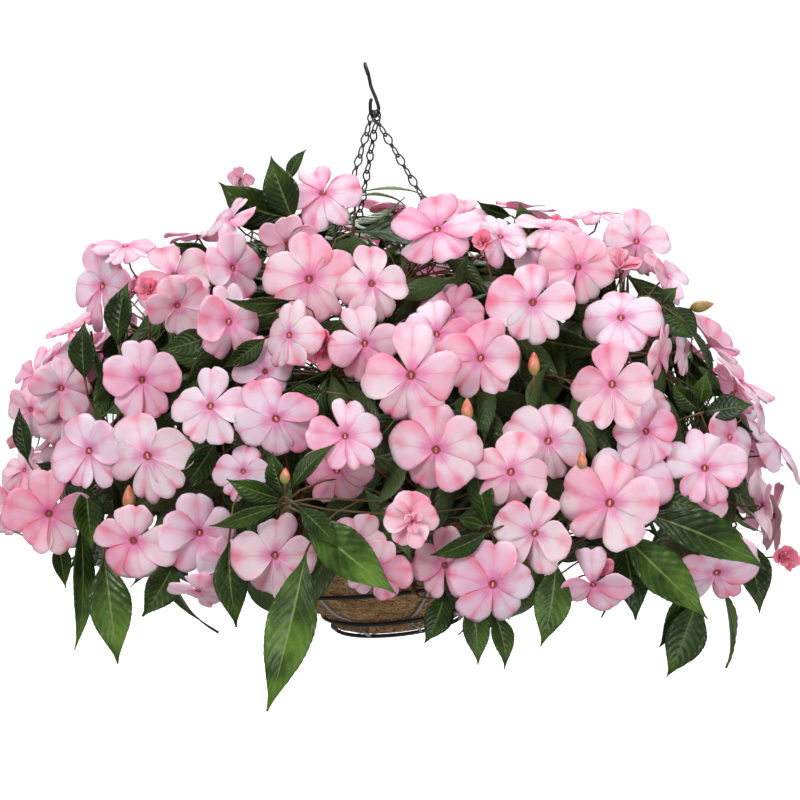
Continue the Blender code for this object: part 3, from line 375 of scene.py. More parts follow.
def seenAt(points):
    # Where points of the world appear in the picture, across and down.
    off = np.asarray(points, float) - eyePoint
    scale = viewPlan["focal"] / -(off @ toward)
    return viewPlan["middle"] + scale * (off @ viewRight), viewPlan["middle"] - scale * (off @ viewUp)


def unit(vector):
    return vector / max(np.linalg.norm(vector), 1e-9)


def moundLevel(points, inset):
    # Below 1 inside the mound when every half-size is smaller by inset.
    off = points - moundPlan["centre"]
    above = off[:, 2] > 0
    half = np.where(above, moundPlan["up"], moundPlan["down"])
    half = half - inset * np.where(above, 1, moundPlan["lowInset"])
    power = np.where(above, *moundPlan["powers"])
    flat = np.hypot(*(off[:, axis] / (moundPlan["half"][axis] - inset) for axis in (0, 1)))
    return flat**power + np.abs(off[:, 2] / half) ** power


def onMound(across, down, layer):
    # Where the line of sight enters the mound at this layer, or passes closest to it.
    low, high, step = viewPlan["search"]
    reach = np.arange(viewPlan["distance"] + low, viewPlan["distance"] + high, step)
    points = eyePoint + reach[:, None] * sightLine(across, down)
    level = moundLevel(points, layer * moundPlan["layer"])
    inside = np.nonzero(level < 1)[0]
    return points[inside[0] if len(inside) else level.argmin()]


def moundPoint(polar, azimuth, inset):
    # The mound's point in this direction, with its outward normal.
    up = math.cos(polar)
    tall = moundPlan["up"] - inset if up > 0 else moundPlan["down"] - inset * moundPlan["stemLowInset"]
    half = np.array((moundPlan["half"][0] - inset, moundPlan["half"][1] - inset, tall))
    way = np.array((math.sin(polar) * math.cos(azimuth), math.sin(polar) * math.sin(azimuth), up))
    return moundPlan["centre"] + half * way, unit(way / half)


def turnedAxes(angle, first, second):
    # The axes turned by an angle from the first toward the second, as columns.
    axes = np.eye(3)
    axes[first, first] = axes[second, second] = math.cos(angle)
    axes[second, first], axes[first, second] = math.sin(angle), -math.sin(angle)
    return axes


# The basket hangs a little low on the left
basketAxes = turnedAxes(basketPlan["roll"], 0, 2) @ turnedAxes(basketPlan["lean"], 1, 2)
upright = basketAxes[:, 2]


def inBasket(points):
    # World places of points given in the basket's own frame, above its base ring.
    return basketPlan["base"] + np.asarray(points, float) @ basketAxes.T


def bowlRadius(height, sphere=basketPlan["sphere"]):
    drop = basketPlan["sphere"] - height
    return math.sqrt(max(sphere**2 - drop**2, 0))


# Shapes: each function gives vertices and faces of one closed solid


def carryFrame(path, normal):
    # A normal and a binormal at each point of a path, carried along it without twist.
    tangents = np.gradient(path, axis=0)
    tangents /= np.linalg.norm(tangents, axis=1)[:, None]
    normals = []
    for tangent in tangents:
        normal = unit(normal - tangent * (normal @ tangent))
        normals.append(normal)
    normals = np.array(normals)
    return normals, np.cross(tangents, normals)


def crosswise(way):
    return np.cross(way, np.eye(3)[np.abs(way).argmin()])


def ringsRound(path, radii, first, second, count):
    # Circles of points round a path, each turning from its first direction to its second.
    turns = (np.arange(count) * math.tau / count)[:, None]
    ring = np.cos(turns) * first[..., None, :] + np.sin(turns) * second[..., None, :]
    return (path[:, None] + np.broadcast_to(radii, len(path))[:, None, None] * ring).reshape(-1, 3)


def closedFaces(rows, count):
    # Quads between rings of points, and triangles to two last points that close the ends.
    index = np.arange(rows * count).reshape(rows, count)
    side = np.roll(index, -1, axis=1)
    quads = np.stack((index[:-1], side[:-1], side[1:], index[1:]), axis=2).reshape(-1, 4)
    first, last = np.full(count, rows * count), np.full(count, rows * count + 1)
    ends = (side[0], index[0], first), (index[-1], side[-1], last)
    return quads, np.concatenate([np.stack(end, axis=1) for end in ends])


def ringFaces(ringCount, count, first=0):
    # Quads between successive rings of the same number of points.
    faces = []
    for i in range(ringCount - 1):
        for j in range(count):
            a, b = first + i * count + j, first + i * count + (j + 1) % count
            faces.append((a, b, b + count, a + count))
    return faces


def bridge(first, firstCount, second, secondCount):
    # Triangles between two rings of different numbers of points.
    faces, i, j = [], 0, 0
    while i < firstCount or j < secondCount:
        a, b = first + i % firstCount, second + j % secondCount
        if j >= secondCount or (i < firstCount and (i + 1) / firstCount <= (j + 1) / secondCount):
            i += 1
            faces.append((a, b, first + i % firstCount))
        else:
            j += 1
            faces.append((a, b, second + j % secondCount))
    return faces


def curve(start, startHandle, endHandle, end, count):
    # Points along a cubic curve.
    t = np.linspace(0, 1, count)[:, None]
    return (
        (1 - t) ** 3 * start
        + 3 * (1 - t) ** 2 * t * startHandle
        + 3 * (1 - t) * t**2 * endHandle
        + t**3 * end
    )


def bloomRings(item, grow):
    # Front centre, five-petalled outline, back centre, and the way to the outline's start.
    centre, heading, top, width = (item[key] for key in ("centre", "heading", "top", "width"))
    right = np.cross(top, heading)
    cup = petalPlan["cup"][item["kind"]]
    spread = 0.75 if item["kind"] == "young" else 1.0
    outline = []
    for petal, length, lift in zip(petalPlan["turns"], petalPlan["lengths"], petalPlan["lifts"]):
        points = ((-36, petalPlan["valley"], cup * 0.5 - 0.012), (-petalPlan["lobeTurn"], length, lift + cup))
        if item["notched"]:
            points += ((0, length * petalPlan["notch"], lift * 0.8 + cup),)
        points += ((petalPlan["lobeTurn"], length, lift + cup),)
        for turn, reach, rise in points:
            angle = math.radians(petal + turn)
            out = reach * spread * width + grow
            outline.append(
                centre + out * (top * math.cos(angle) + right * math.sin(angle)) + heading * rise * width
            )
    front = centre - heading * (0.05 * width - 0.0004 - grow)
    back = centre - heading * (0.05 * width + 0.0035 + grow)
    return front, [outline], back, top * math.cos(math.radians(36)) - right * math.sin(math.radians(36))


def budRings(item, grow):
    # Tip, widest square and foot of a bud, and the way to the square's start.
    centre, heading, top = item["centre"], item["heading"], item["top"]
    right = np.cross(top, heading)
    half = item["width"] * 0.5 + grow
    square = [centre + half * 0.42 * way for way in (right, heading, -right, -heading)]
    return centre + top * half, [square], centre - top * half, right


def leafRings(item, grow):
    # Tip, two sections folded along the rib, and base of a leaf, and the way to its left edge.
    base, tip = item["base"], item["tip"]
    length = np.linalg.norm(tip - base)
    axis = (tip - base) / length
    side = unit(item["side"] - axis * (item["side"] @ axis))
    face = np.cross(side, axis)
    sections = []
    for along, share in leafPlan["stations"]:
        half = item["width"] / 2 * share
        middle = base + axis * along * length + face * item["arch"] * length * 4 * along * (1 - along)
        lift = face * half * leafPlan["fold"]
        reach = side * (half + grow)
        thick = face * (leafPlan["thickness"] / 2 + grow)
        sections.append((middle - reach + lift, middle - thick, middle + reach + lift, middle + thick))
    return tip + axis * grow, sections, base, -side


def bodyRings(item, grow):
    makers = {"leaf": leafRings, "bud": budRings}
    return makers.get(item["kind"], bloomRings)(item, grow)


def foldedFaces(ringCount, count, first):
    # Triangles between leaf sections, split alike on the upper and the lower face.
    faces = []
    for i, (a, b, c, d) in enumerate(ringFaces(ringCount, count, first)):
        faces += [(a, b, c), (a, c, d)] if i % 2 == 0 else [(a, b, d), (b, c, d)]
    return faces


def bodyShape(item, grow=0.0, stalked=False):
    # A flower, bud or leaf, closed where its stalk would start, or narrowing into the stalk.
    apex, rings, foot, normal = bodyRings(item, grow)
    count = len(rings[0])
    last = 1 + (len(rings) - 1) * count
    faces = [(0, 1 + j, 1 + (j + 1) % count) for j in range(count)]
    faces += foldedFaces(len(rings), count, 1)
    end = foot[None]
    if stalked:
        path = stalkPath(item)
        end = ringsRound(path, stalkPlan["radius"], *carryFrame(path, normal), 3)
        first = last + count
        tail = first + 3 * (len(path) - 1)
        faces += bridge(last, count, first, 3) + ringFaces(len(path), 3, first)
        faces.append((tail, tail + 1, tail + 2))
    else:
        faces += [(last + j, last + count, last + (j + 1) % count) for j in range(count)]
    return np.vstack([apex[None], *rings, end]), faces


def stalkPath(item):
    # The middle of the stalk, from the flower, bud or leaf to the stem.
    count = stalkPlan["petiolePoints"] if item["kind"] == "leaf" else stalkPlan["points"]
    return curve(*item["stalk"], count)[::-1]


def stalkShape(item, grow=0.0):
    # The stalk by itself, with its corners where bodyShape has them.
    return rod(stalkPath(item), stalkPlan["radius"] + grow, 3, bodyRings(item, 0.0)[3])


def crossesItself(item):
    # Whether the stalk runs back through its own flower or leaf.
    verts, faces = bodyShape(item, stalked=True)
    tree = BVHTree.FromPolygons(verts.tolist(), faces)
    return any(a < b and not set(faces[a]) & set(faces[b]) for a, b in tree.overlap(tree))


# Growing the plant: every piece is tested against those already there


class Thicket:
    # The pieces grown so far, each with its node, its part in the plant and a search tree.

    def __init__(self):
        self.pieces = []
        self.middles = np.empty((0, 3))
        self.reaches = np.empty(0)

    @staticmethod
    def measured(shape):
        verts, faces = shape
        middle = (verts.min(axis=0) + verts.max(axis=0)) / 2
        reach = np.linalg.norm(verts - middle, axis=1).max()
        return BVHTree.FromPolygons(verts.tolist(), faces), middle, reach

    def add(self, shape, node, role):
        tree, middle, reach = self.measured(shape)
        self.pieces.append((node, role, tree))
        self.middles = np.vstack((self.middles, middle))
        self.reaches = np.append(self.reaches, reach)

    def met(self, shape, node=None, role="body"):
        # The nodes that this shape would cross: a stalk may only cross its own stem.
        tree, middle, reach = self.measured(shape)
        near = np.linalg.norm(self.middles - middle, axis=1) < self.reaches + reach
        found = set()
        for index in np.nonzero(near)[0]:
            otherNode, otherRole, otherTree = self.pieces[index]
            ownStem = otherNode == node and role == "stalk" and otherRole == "stem"
            if otherNode not in found and not ownStem and tree.overlap(otherTree):
                found.add(otherNode)
        return found


def guardShapes():
    # Closed shapes round the basket, the chains and the hook that growth keeps clear of.
    rim = basketPlan["rimHeight"]
    heights = np.array((-0.004, 0.0, 0.012, 0.03, 0.06, 0.095, rim, rim + 0.005))[:, None]
    reach = [max(bowlRadius(max(height, 0.004)), basketPlan["baseRadius"]) for height in heights[:, 0]]
    basket = turned(np.array(reach)[:, None] + guardPlan["basket"], heights, 16)
    guards = [polygons(*basket)]
    for start, end in chainLines():
        guards.append(rod([start, (start + end) / 2, end], guardPlan["chain"], 6))
    guards.append(rod([(0.005, 0, -0.05), (0.003, 0, 0.004)], guardPlan["hook"], 6))
    return guards


def stemLines():
    # The flowering stems, each a path from its hole in the soil to its tip in the mound.
    stems, plan, depth = [], stemPlan, soilPlan["planting"]
    middle = inBasket((0, 0, soilPlan["height"]))
    for row, (polar, azimuths) in enumerate(plan["rows"]):
        root = plan["roots"][0] + plan["roots"][1] * row
        for azimuth in azimuths:
            tip, outward = moundPoint(math.radians(polar), math.radians(azimuth), plan["inset"])
            way = tip - middle
            turn = math.atan2(way[1], way[0])
            low = inBasket((root * math.cos(turn), root * math.sin(turn), soilPlan["height"] - depth))
            top = low + upright * (depth + 0.006)
            span = np.linalg.norm(tip - top)
            droop = unit(outward + np.array((0, 0, -plan["rowDroop"] * row)))
            lift = upright * (plan["rise"] * span + plan["rowRise"] * row)
            path = curve(top, top + lift, tip - droop * plan["run"] * span, tip, plan["points"])
            stems.append(np.vstack((low, path)))
    return stems


def stemSpot(stem, index):
    # A point on the stem, this many steps down from its tip, and the way up the stem there.
    down = stem[::-1]
    travelled = np.concatenate(([0], np.cumsum(np.linalg.norm(np.diff(down, axis=0), axis=1))))
    reach = stemPlan["spotStep"] * (index + 0.7)
    point, above = (
        np.array([np.interp(distance, travelled, down[:, axis]) for axis in range(3)])
        for distance in (reach, reach - 0.004)
    )
    return point, unit(above - point)


def stalkEnd(item):
    # Where the stalk enters the flower, bud or leaf, and the way out of it there.
    if item["kind"] == "leaf":
        return item["base"], unit(item["base"] - item["tip"])
    if item["kind"] == "bud":
        return item["centre"] - item["top"] * item["width"] * 0.42, -item["top"]
    return item["centre"] - item["heading"] * (0.05 * item["width"] + 0.003), -item["heading"]


def stalkRoutes(item, spots, taken):
    # Curves from free spots on the stem to the piece, the nearest spots first.
    end, leaving = stalkEnd(item)
    aim = end + leaving * 0.02
    free = []
    for index, (place, _) in enumerate(spots):
        if index not in taken:
            free.append((round(math.dist(place, aim), 4), index))
    for _, index in sorted(free)[:growthPlan["spotTries"]]:
        start, rise = spots[index]
        span = np.linalg.norm(end - start)
        for reach, lift in stalkPlan["bends"]:
            yield index, (start, start + rise * lift * span, end + leaving * reach * span, end)


class Plant:
    # The stems, what grows on them, and the spots on each stem that carry a stalk.

    def __init__(self):
        self.thicket = Thicket()
        for guard in guardShapes():
            self.thicket.add(guard, "guard", "body")
        self.stems = stemLines()
        steps = range(stemPlan["spotCount"])
        self.spots = [[stemSpot(stem, index) for index in steps] for stem in self.stems]
        self.taken = [set() for _ in self.stems]
        self.items = []
        for node, stem in enumerate(self.stems):
            radii = np.linspace(stemPlan["radius"], stemPlan["tipRadius"], len(stem))
            self.thicket.add(rod(stem, radii, 3), node, "stem")

    def nearest(self, place, count):
        # The stems nearest to a place, those that carry much already counted as further off.
        reach = []
        for stem, taken in zip(self.stems, self.taken):
            tip, middle = np.linalg.norm(stem[-1] - place), np.linalg.norm(stem[-3] - place)
            reach.append(min(tip, middle + 0.03) + 0.002 * len(taken))
        return [int(i) for i in np.argsort(reach, kind="stable")[:count]]

    def closestSpot(self, place):
        # The nearest stem, and on it the spot closest to a place: its way up and how far it is.
        node = self.nearest(place, 1)[0]
        reach = [np.linalg.norm(spot - place) for spot, _ in self.spots[node]]
        index = int(np.argmin(reach))
        return node, index, *self.spots[node][index], reach[index]

    def room(self, centre):
        # How far a place is from the nearest flower or bud.
        flowers = (item for item in self.items if item["kind"] != "leaf")
        return min(np.linalg.norm(item["centre"] - centre) for item in flowers)

    def settle(self, item, nodes, shifts, shiftWay, fusing=False):
        # Moves the piece along shiftWay until it clears the rest and a stalk reaches it.
        # With fusing it may cross pieces of its own stem, which then grow together.
        fallback, clear = None, growthPlan["clearance"]
        for shift in shifts:
            moved = dict(item)
            for place in ("centre", "base", "tip"):
                if place in item:
                    moved[place] = item[place] + shiftWay * shift
            crossed = self.thicket.met(bodyShape(moved, clear))
            for node in nodes:
                if crossed and not (fusing and not fallback and crossed == {node}):
                    continue
                for spot, stalk in stalkRoutes(moved, self.spots[node], self.taken[node]):
                    found = dict(moved, node=node, spot=spot, stalk=stalk)
                    if self.blocked(found):
                        continue
                    if not crossed:
                        return found
                    fallback = found
                    break
        return fallback

    def blocked(self, item):
        # Whether its stalk would cross another piece, or its own flower or leaf.
        stalk = stalkShape(item, growthPlan["clearance"])
        return self.thicket.met(stalk, item["node"], "stalk") or crossesItself(item)

    def add(self, item):
        self.thicket.add(stalkShape(item), item["node"], "stalk")
        self.taken[item["node"]].add(item["spot"])
        self.tie(item)

    def tie(self, item):
        self.thicket.add(bodyShape(item), item["node"], "body")
        self.items.append(item)


def listedBloom(row):
    turn, tip, spin = (math.radians(v) for v in (row.turn, row.tip, row.spin))
    flat = toward * math.cos(turn) + viewRight * math.sin(turn)
    heading = flat * math.cos(tip) + viewUp * math.sin(tip)
    upward = viewUp if abs(row.tip) < 50 else -math.copysign(1, row.tip) * toward
    top = unit(upward - heading * (upward @ heading))
    top = top * math.cos(spin) + np.cross(top, heading) * math.sin(spin)
    centre = onMound(row.across, row.down, row.layer)
    width = row.width * np.linalg.norm(centre - eyePoint) / viewPlan["focal"]
    return dict(kind=row.kind, centre=centre, heading=heading, top=top, width=width, notched=True)


def listedLeaf(row):
    base = onMound(row.across, row.down, row.layer)
    far = np.linalg.norm(base - eyePoint)
    tip = eyePoint + sightLine(row.tipAcross, row.tipDown) * far
    axis = unit(tip - base)
    turn = math.radians(row.face)
    flat = unit(np.cross(axis, toward))
    side = flat * math.cos(turn) + np.cross(flat, axis) * math.sin(turn)
    width = row.width * far / viewPlan["focal"] / max(math.cos(turn), 0.35)
    return dict(kind="leaf", base=base, tip=tip, side=side, width=width, arch=0.05)


def listedTint(row):
    # How bright a listed leaf is: more so low down and when small, and four are given.
    if (row.across, row.down) in brightLeaves:
        return brightLeaves[(row.across, row.down)]
    chance = (row.across * 7 + row.tipAcross * 3) % 10 / 10
    low = min(max((row.tipDown - 420) / 250, 0), 1)
    return 0.04 + 0.34 * chance + 0.28 * low + (0.16 if row.width < 20 else 0)


def growListed(plant):
    # The flowers and leaves of the two lists, each moved along its line of sight only.
    missed = []
    for row in [Bloom(*row) for row in frontBlooms] + [Leaf(*row) for row in frontLeaves]:
        item = listedLeaf(row) if isinstance(row, Leaf) else listedBloom(row)
        place = item["base"] if item["kind"] == "leaf" else item["centre"]
        nodes = plant.nearest(place, growthPlan["stemTries"])
        found = plant.settle(item, nodes, growthPlan["shifts"], sightLine(row.across, row.down), fusing=True)
        if found:
            found["listed"] = row
            if isinstance(row, Leaf):
                found.update(fine=True, tint=listedTint(row))
            plant.add(found)
        else:
            missed.append(row)
    return missed


def facing(outward, plan, rng):
    # A flower's heading, near the mound's own and a little upward, and its top, nearly upright.
    heading = unit(outward + np.array((0, 0, plan["rise"])) + rng.normal(0, plan["turn"], 3))
    up = np.array((0, 0, 1.0)) + rng.normal(0, plan["spin"], 3)
    return heading, unit(up - heading * (up @ heading))


def growBack(plant, rng):
    # Flowers over the sides, the top and the back, on a golden-angle spiral.
    plan = backPlan
    grown = 0
    for i in range(plan["spiral"]):
        polar = math.acos(1 - plan["depth"] * (i + 0.5) / plan["spiral"])
        azimuth = i * growthPlan["goldenAngle"]
        centre, outward = moundPoint(polar, azimuth, rng.uniform(*plan["insets"]))
        heading, top = facing(outward, plan, rng)
        kind = "young" if rng.random() < plan["young"] else "open"
        width = rng.uniform(*plan["widths"]) * (plan["youngWidth"] if kind == "young" else 1.0)
        crowded = plant.room(centre) < plan["spacing"]
        if grown >= plan["count"] or outward @ toward > plan["toward"] or crowded:
            continue
        item = dict(kind=kind, centre=centre, heading=heading, top=top, width=width, notched=False)
        found = plant.settle(item, plant.nearest(centre, 4), (0, 0.006, 0.012), -outward)
        if found:
            plant.add(found)
            grown += 1
    return grown


def leafWay(spot, rise, turn, spread, length, plan):
    # A leaf that leaves the stem at this turn and spread: its way, its base and its drooping tip.
    flat = unit(crosswise(rise))
    around = flat * math.cos(turn) + np.cross(rise, flat) * math.sin(turn)
    way = unit(rise * math.cos(spread) + around * math.sin(spread) + np.array((0, 0, plan["rise"])))
    base = spot + way * stalkPlan["petiole"] * plan["petiole"]
    return way, base, base + way * length + np.array((0, 0, -plan["droop"] * length))


def stemLeaf(spot, rise, way, base, tip, tilt, bend, **rest):
    # The leaf itself, its blade turned up, with a short stalk that bends at both ends.
    side = unit(np.cross(way, rise + np.array((0, 0, 0.3))) + tilt)
    bend = bend * stalkPlan["petiole"]
    stalk = (spot, spot + way * bend, base - unit(tip - base) * bend, base)
    return dict(kind="leaf", base=base, tip=tip, side=side, stalk=stalk, **rest)


def growFill(plant, rng, wanted):
    # Leaves in a spiral down the stems, kept where there is room and the list gives none.
    plan = fillPlan
    grown = 0
    for index in range(stemPlan["spotCount"]):
        for node, spots in enumerate(plant.spots):
            turn = index * growthPlan["goldenAngle"] + node
            spread, length = rng.uniform(*plan["spreads"]), rng.uniform(*plan["lengths"])
            width, arch = length * rng.uniform(*plan["widths"]), rng.uniform(*plan["arches"])
            tilt = rng.normal(0, plan["tilt"], 3)
            if grown >= wanted or index in plant.taken[node]:
                continue
            way, base, tip = leafWay(*spots[index], turn, spread, length, plan)
            outside = moundLevel(tip[None], -plan["outside"])[0] > 1
            if outside or unit(tip - moundPlan["centre"]) @ toward > plan["toward"]:
                continue
            item = stemLeaf(*spots[index], way, base, tip, tilt, plan["bend"], width=width, arch=arch)
            item.update(node=node, spot=index)
            if plant.thicket.met(bodyShape(item, growthPlan["clearance"])) or plant.blocked(item):
                continue
            plant.add(item)
            grown += 1
    return grown


def growPlant():
    # Every flower, bud and leaf, with the stem that carries it.
    rng = np.random.default_rng(growthPlan["seed"])
    plant = Plant()
    missed = growListed(plant)
    back = growBack(plant, rng)
    fill = growFill(plant, rng, fillPlan["count"])
    print(f"{len(plant.items)} pieces, {back} back flowers, {fill} fill leaves, missed {missed}")
    return plant


def hookLine():
    # The hook's centre line: an open arch over the bracket, a shank and a U for the chains.
    arch = hookPlan["arch"] + hookPlan["rod"] / 2
    turns = np.radians(np.linspace(hookPlan["opening"], 0, 9))
    over = np.array([(0, arch * math.cos(a), -hookPlan["arch"] + arch * math.sin(a)) for a in turns])
    down = np.array((0, 0, -1.0))
    under = np.array([bendPoint(a) for a in np.radians(np.linspace(90, -90, 9))])
    shank = curve(over[-1], over[-1] + down * 0.010, under[0] - down * 0.008, under[0], 6)[1:-1]
    return np.vstack((over, shank, under, under[-1] - down * 0.0085))


def chainLines():
    # Centre of each chain's top and bottom seat: inside the hook's U and round the rim.
    lines = []
    height = basketPlan["rimHeight"]
    radius = bowlRadius(height)
    for azimuth, seat in zip(chainPlan["azimuths"], chainPlan["seats"]):
        turn = math.radians(azimuth)
        bottom = inBasket((radius * math.cos(turn), radius * math.sin(turn), height))
        lines.append((bendPoint(math.radians(seat)), bottom))
    return lines


def chainLinks(index):
    # Centre, way along and way across of each link, turned a quarter from one to the next.
    start, end = chainLines()[index]
    along = unit(end - start)
    wire = chainPlan["wire"] / 2
    start = start - along * (hookPlan["rod"] / 2 + wire + gap * 1.6)
    end = end + along * (basketPlan["rimWire"] / 2 + wire + gap * 1.6)
    span = np.linalg.norm(end - start)
    first = unit(np.cross(along, bendWay))
    turn = math.radians(chainPlan["azimuths"][index])
    rim = basketAxes @ np.array((-math.sin(turn), math.cos(turn), 0))
    last = unit(np.cross(along, rim))
    count = round((span - wire) / chainPlan["pitch"])
    other = np.cross(along, first)
    swing = math.atan2(last @ other, last @ first)
    quarter = (count - 1) * math.pi / 2
    slack = (swing - quarter + math.pi / 2) % math.pi - math.pi / 2
    pitch = (span - 0.0004) / count
    half = pitch / 2 + 0.0002
    links = []
    for i in range(count):
        centre = start + along * (half + i * pitch)
        angle = i * (math.pi / 2 + slack / (count - 1))
        links.append((centre, along, first * math.cos(angle) + other * math.sin(angle), half))
    return links


def bendPoint(turn):
    # A point of the middle line of the hook's U, this far round from its lowest point.
    way = math.sin(turn) * bendWay + math.cos(turn) * np.array((0, 0, -1.0))
    return hookPlan["bendCentre"] + hookPlan["bend"] * way


def ribLine(index):
    # One rib: down inside the rings from the rim to the base ring, veering to the right.
    plan = basketPlan
    heights, turns = np.array(plan["ribTurns"][::-1]).T
    inner = plan["sphere"] - plan["ringWire"] / 2 - plan["ribWire"] / 2 + 0.0009
    points = []
    for height in plan["ribLevels"]:
        angle = plan["ribFirst"] + math.tau * index / plan["ribCount"]
        angle += math.radians(np.interp(height, heights, turns))
        radius = bowlRadius(height, inner)
        if height < 0.010:
            radius = plan["baseRadius"] + (0.004 if height else 0.0)
        if height > plan["rimHeight"]:
            radius = bowlRadius(plan["rimHeight"])
        points.append((radius * math.cos(angle), radius * math.sin(angle), height))
    return inBasket(points)


# Mesh work: every piece is gathered in a pile of arrays and then made one mesh


class Pile:
    # Vertices with their place on the petal or leaf, their tint and their side, and faces.

    def __init__(self):
        self.verts, self.places, self.tints, self.unders = [], [], [], []
        self.faces, self.mats = [], []
        self.count = 0

    def add(self, verts, faces, material=0, places=None, tint=0.5, under=0.0):
        number = len(verts)
        self.verts.append(verts)
        self.places.append(np.zeros((number, 2)) if places is None else places)
        self.tints.append(np.broadcast_to(tint, number))
        self.unders.append(np.broadcast_to(under, number))
        for group in faces:
            self.faces.append(np.asarray(group) + self.count)
            self.mats.append(np.full(len(group), material))
        self.count += number


def newObject(name, data):
    made = bpy.data.objects.new(name, data)
    bpy.context.scene.collection.objects.link(made)
    return made


def makePiece(name, pile, materials, nodes):
    # One mesh from a pile, smooth, with a UV map and the tint and side attributes.
    mesh = bpy.data.meshes.new(name)
    verts = np.concatenate(pile.verts).astype(np.float32)
    corners = np.concatenate([group.ravel() for group in pile.faces]).astype(np.int32)
    sizes = np.concatenate([np.full(len(group), group.shape[1]) for group in pile.faces])
    starts = np.concatenate(([0], np.cumsum(sizes)[:-1])).astype(np.int32)
    mesh.vertices.add(len(verts))
    mesh.vertices.foreach_set("co", verts.ravel())
    mesh.loops.add(len(corners))
    mesh.loops.foreach_set("vertex_index", corners)
    mesh.polygons.add(len(sizes))
    mesh.polygons.foreach_set("loop_start", starts)
    mesh.polygons.foreach_set("material_index", np.concatenate(pile.mats).astype(np.int32))
    mesh.update(calc_edges=True)
    places = np.concatenate(pile.places).astype(np.float32)
    mesh.uv_layers.new(name="UVMap").data.foreach_set("uv", places[corners].ravel())
    for label, values in (("tint", pile.tints), ("under", pile.unders)):
        layer = mesh.attributes.new(label, "FLOAT", "POINT")
        layer.data.foreach_set("value", np.concatenate(values).astype(np.float32))
    for material in materials:
        mesh.materials.append(material)
    mesh.shade_smooth()
    mesh.validate()
    piece = newObject(name, mesh)
    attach(piece, "root")
    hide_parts(*nodes)


def gridFaces(rows, columns):
    # Quads of a grid whose points run row by row.
    first = (np.arange(rows - 1)[:, None] * columns + np.arange(columns - 1)).ravel()
    return np.stack((first, first + 1, first + columns + 1, first + columns), axis=1)


def shellFaces(rows, columns):
    # Quads of two grids, the second behind the first, closed round their common rim.
    front = gridFaces(rows, columns)
    total = rows * columns
    border = np.concatenate(
        (
            np.arange(columns),
            np.arange(1, rows) * columns + columns - 1,
            (rows - 1) * columns + np.arange(columns - 2, -1, -1),
            np.arange(rows - 2, 0, -1) * columns,
        )
    )
    after = np.roll(border, -1)
    rim = np.stack((border, border + total, after + total, after), axis=1)
    return np.concatenate((front, front[:, ::-1] + total, rim))


def tubeMesh(path, radii, sides, normal=None):
    # A round rod along a path, closed at its two ends.
    path = np.asarray(path, float)
    normal = crosswise(path[1] - path[0]) if normal is None else normal
    verts = ringsRound(path, radii, *carryFrame(path, normal), sides)
    return np.concatenate((verts, path[:1], path[-1:])), closedFaces(len(path), sides)


def hoopMesh(path, radius, sides, normal):
    # A rod bent into a closed loop: each ring lies across the loop's tangent.
    path = np.asarray(path, float)
    tangents = np.roll(path, -1, axis=0) - np.roll(path, 1, axis=0)
    tangents /= np.linalg.norm(tangents, axis=1)[:, None]
    outward = np.cross(tangents, np.broadcast_to(normal, path.shape))
    outward /= np.linalg.norm(outward, axis=1)[:, None]
    verts = ringsRound(path, radius, outward, np.cross(outward, tangents), sides)
    index = np.arange(len(verts)).reshape(-1, sides)
    side, after = np.roll(index, -1, axis=1), np.roll(index, -1, axis=0)
    return verts, (np.stack((index, after, np.roll(after, -1, axis=1), side), axis=2).reshape(-1, 4),)


def knobMesh(centre, axis, across, half, rows=4, sides=6):
    # An egg: circles of radius sin(t) along an axis of half-length half[0].
    axis = unit(axis)
    across = unit(across - axis * (across @ axis))
    t = np.linspace(0, math.pi, rows + 2)[1:-1]
    path = centre - np.cos(t)[:, None] * axis * half[0]
    verts = ringsRound(path, np.sin(t) * half[1], across, np.cross(axis, across), sides)
    ends = np.stack((centre - axis * half[0], centre + axis * half[0]))
    return np.concatenate((verts, ends)), closedFaces(rows, sides)


def turned(radii, heights, count, ends=None):
    # A solid turned round the basket's axis: a ring of points for each row of radii and
    # heights, closed by a point on the axis at each end.
    turns = np.arange(count) * math.tau / count
    levels = np.broadcast_to(heights, (len(radii), count))
    grid = np.stack((radii * np.cos(turns), radii * np.sin(turns), levels), axis=2)
    poles = [(0, 0, level) for level in ends or (levels[0, 0], levels[-1, 0])]
    return inBasket(np.concatenate((grid.reshape(-1, 3), poles))), closedFaces(len(radii), count)


def polygons(verts, groups):
    # The same shape with its faces in one list, for a search tree.
    return verts, [face for group in groups for face in group.tolist()]


def rod(path, radii, sides, normal=None):
    return polygons(*tubeMesh(path, radii, sides, normal))


def smoothCurve(points, count):
    # A smooth curve through a few points, by cubic pieces with the neighbours' slope.
    points = np.asarray(points, float)
    padded = np.vstack((2 * points[0] - points[1], points, 2 * points[-1] - points[-2]))
    t = np.linspace(0, len(points) - 1.0001, count)
    i = t.astype(int)
    f = (t - i)[:, None]
    a, b, c, d = padded[i], padded[i + 1], padded[i + 2], padded[i + 3]
    return b + 0.5 * f * (c - a + f * (2 * a - 5 * b + 4 * c - d + f * (3 * (b - c) + d - a)))


# Materials


def newMaterial(name, **values):
    material = bpy.data.materials.new(name)
    material.use_nodes = True
    graph = Graph(material.node_tree)
    for label, value in values.items():
        graph.sockets[label.replace("_", " ")].default_value = value
    return material, graph


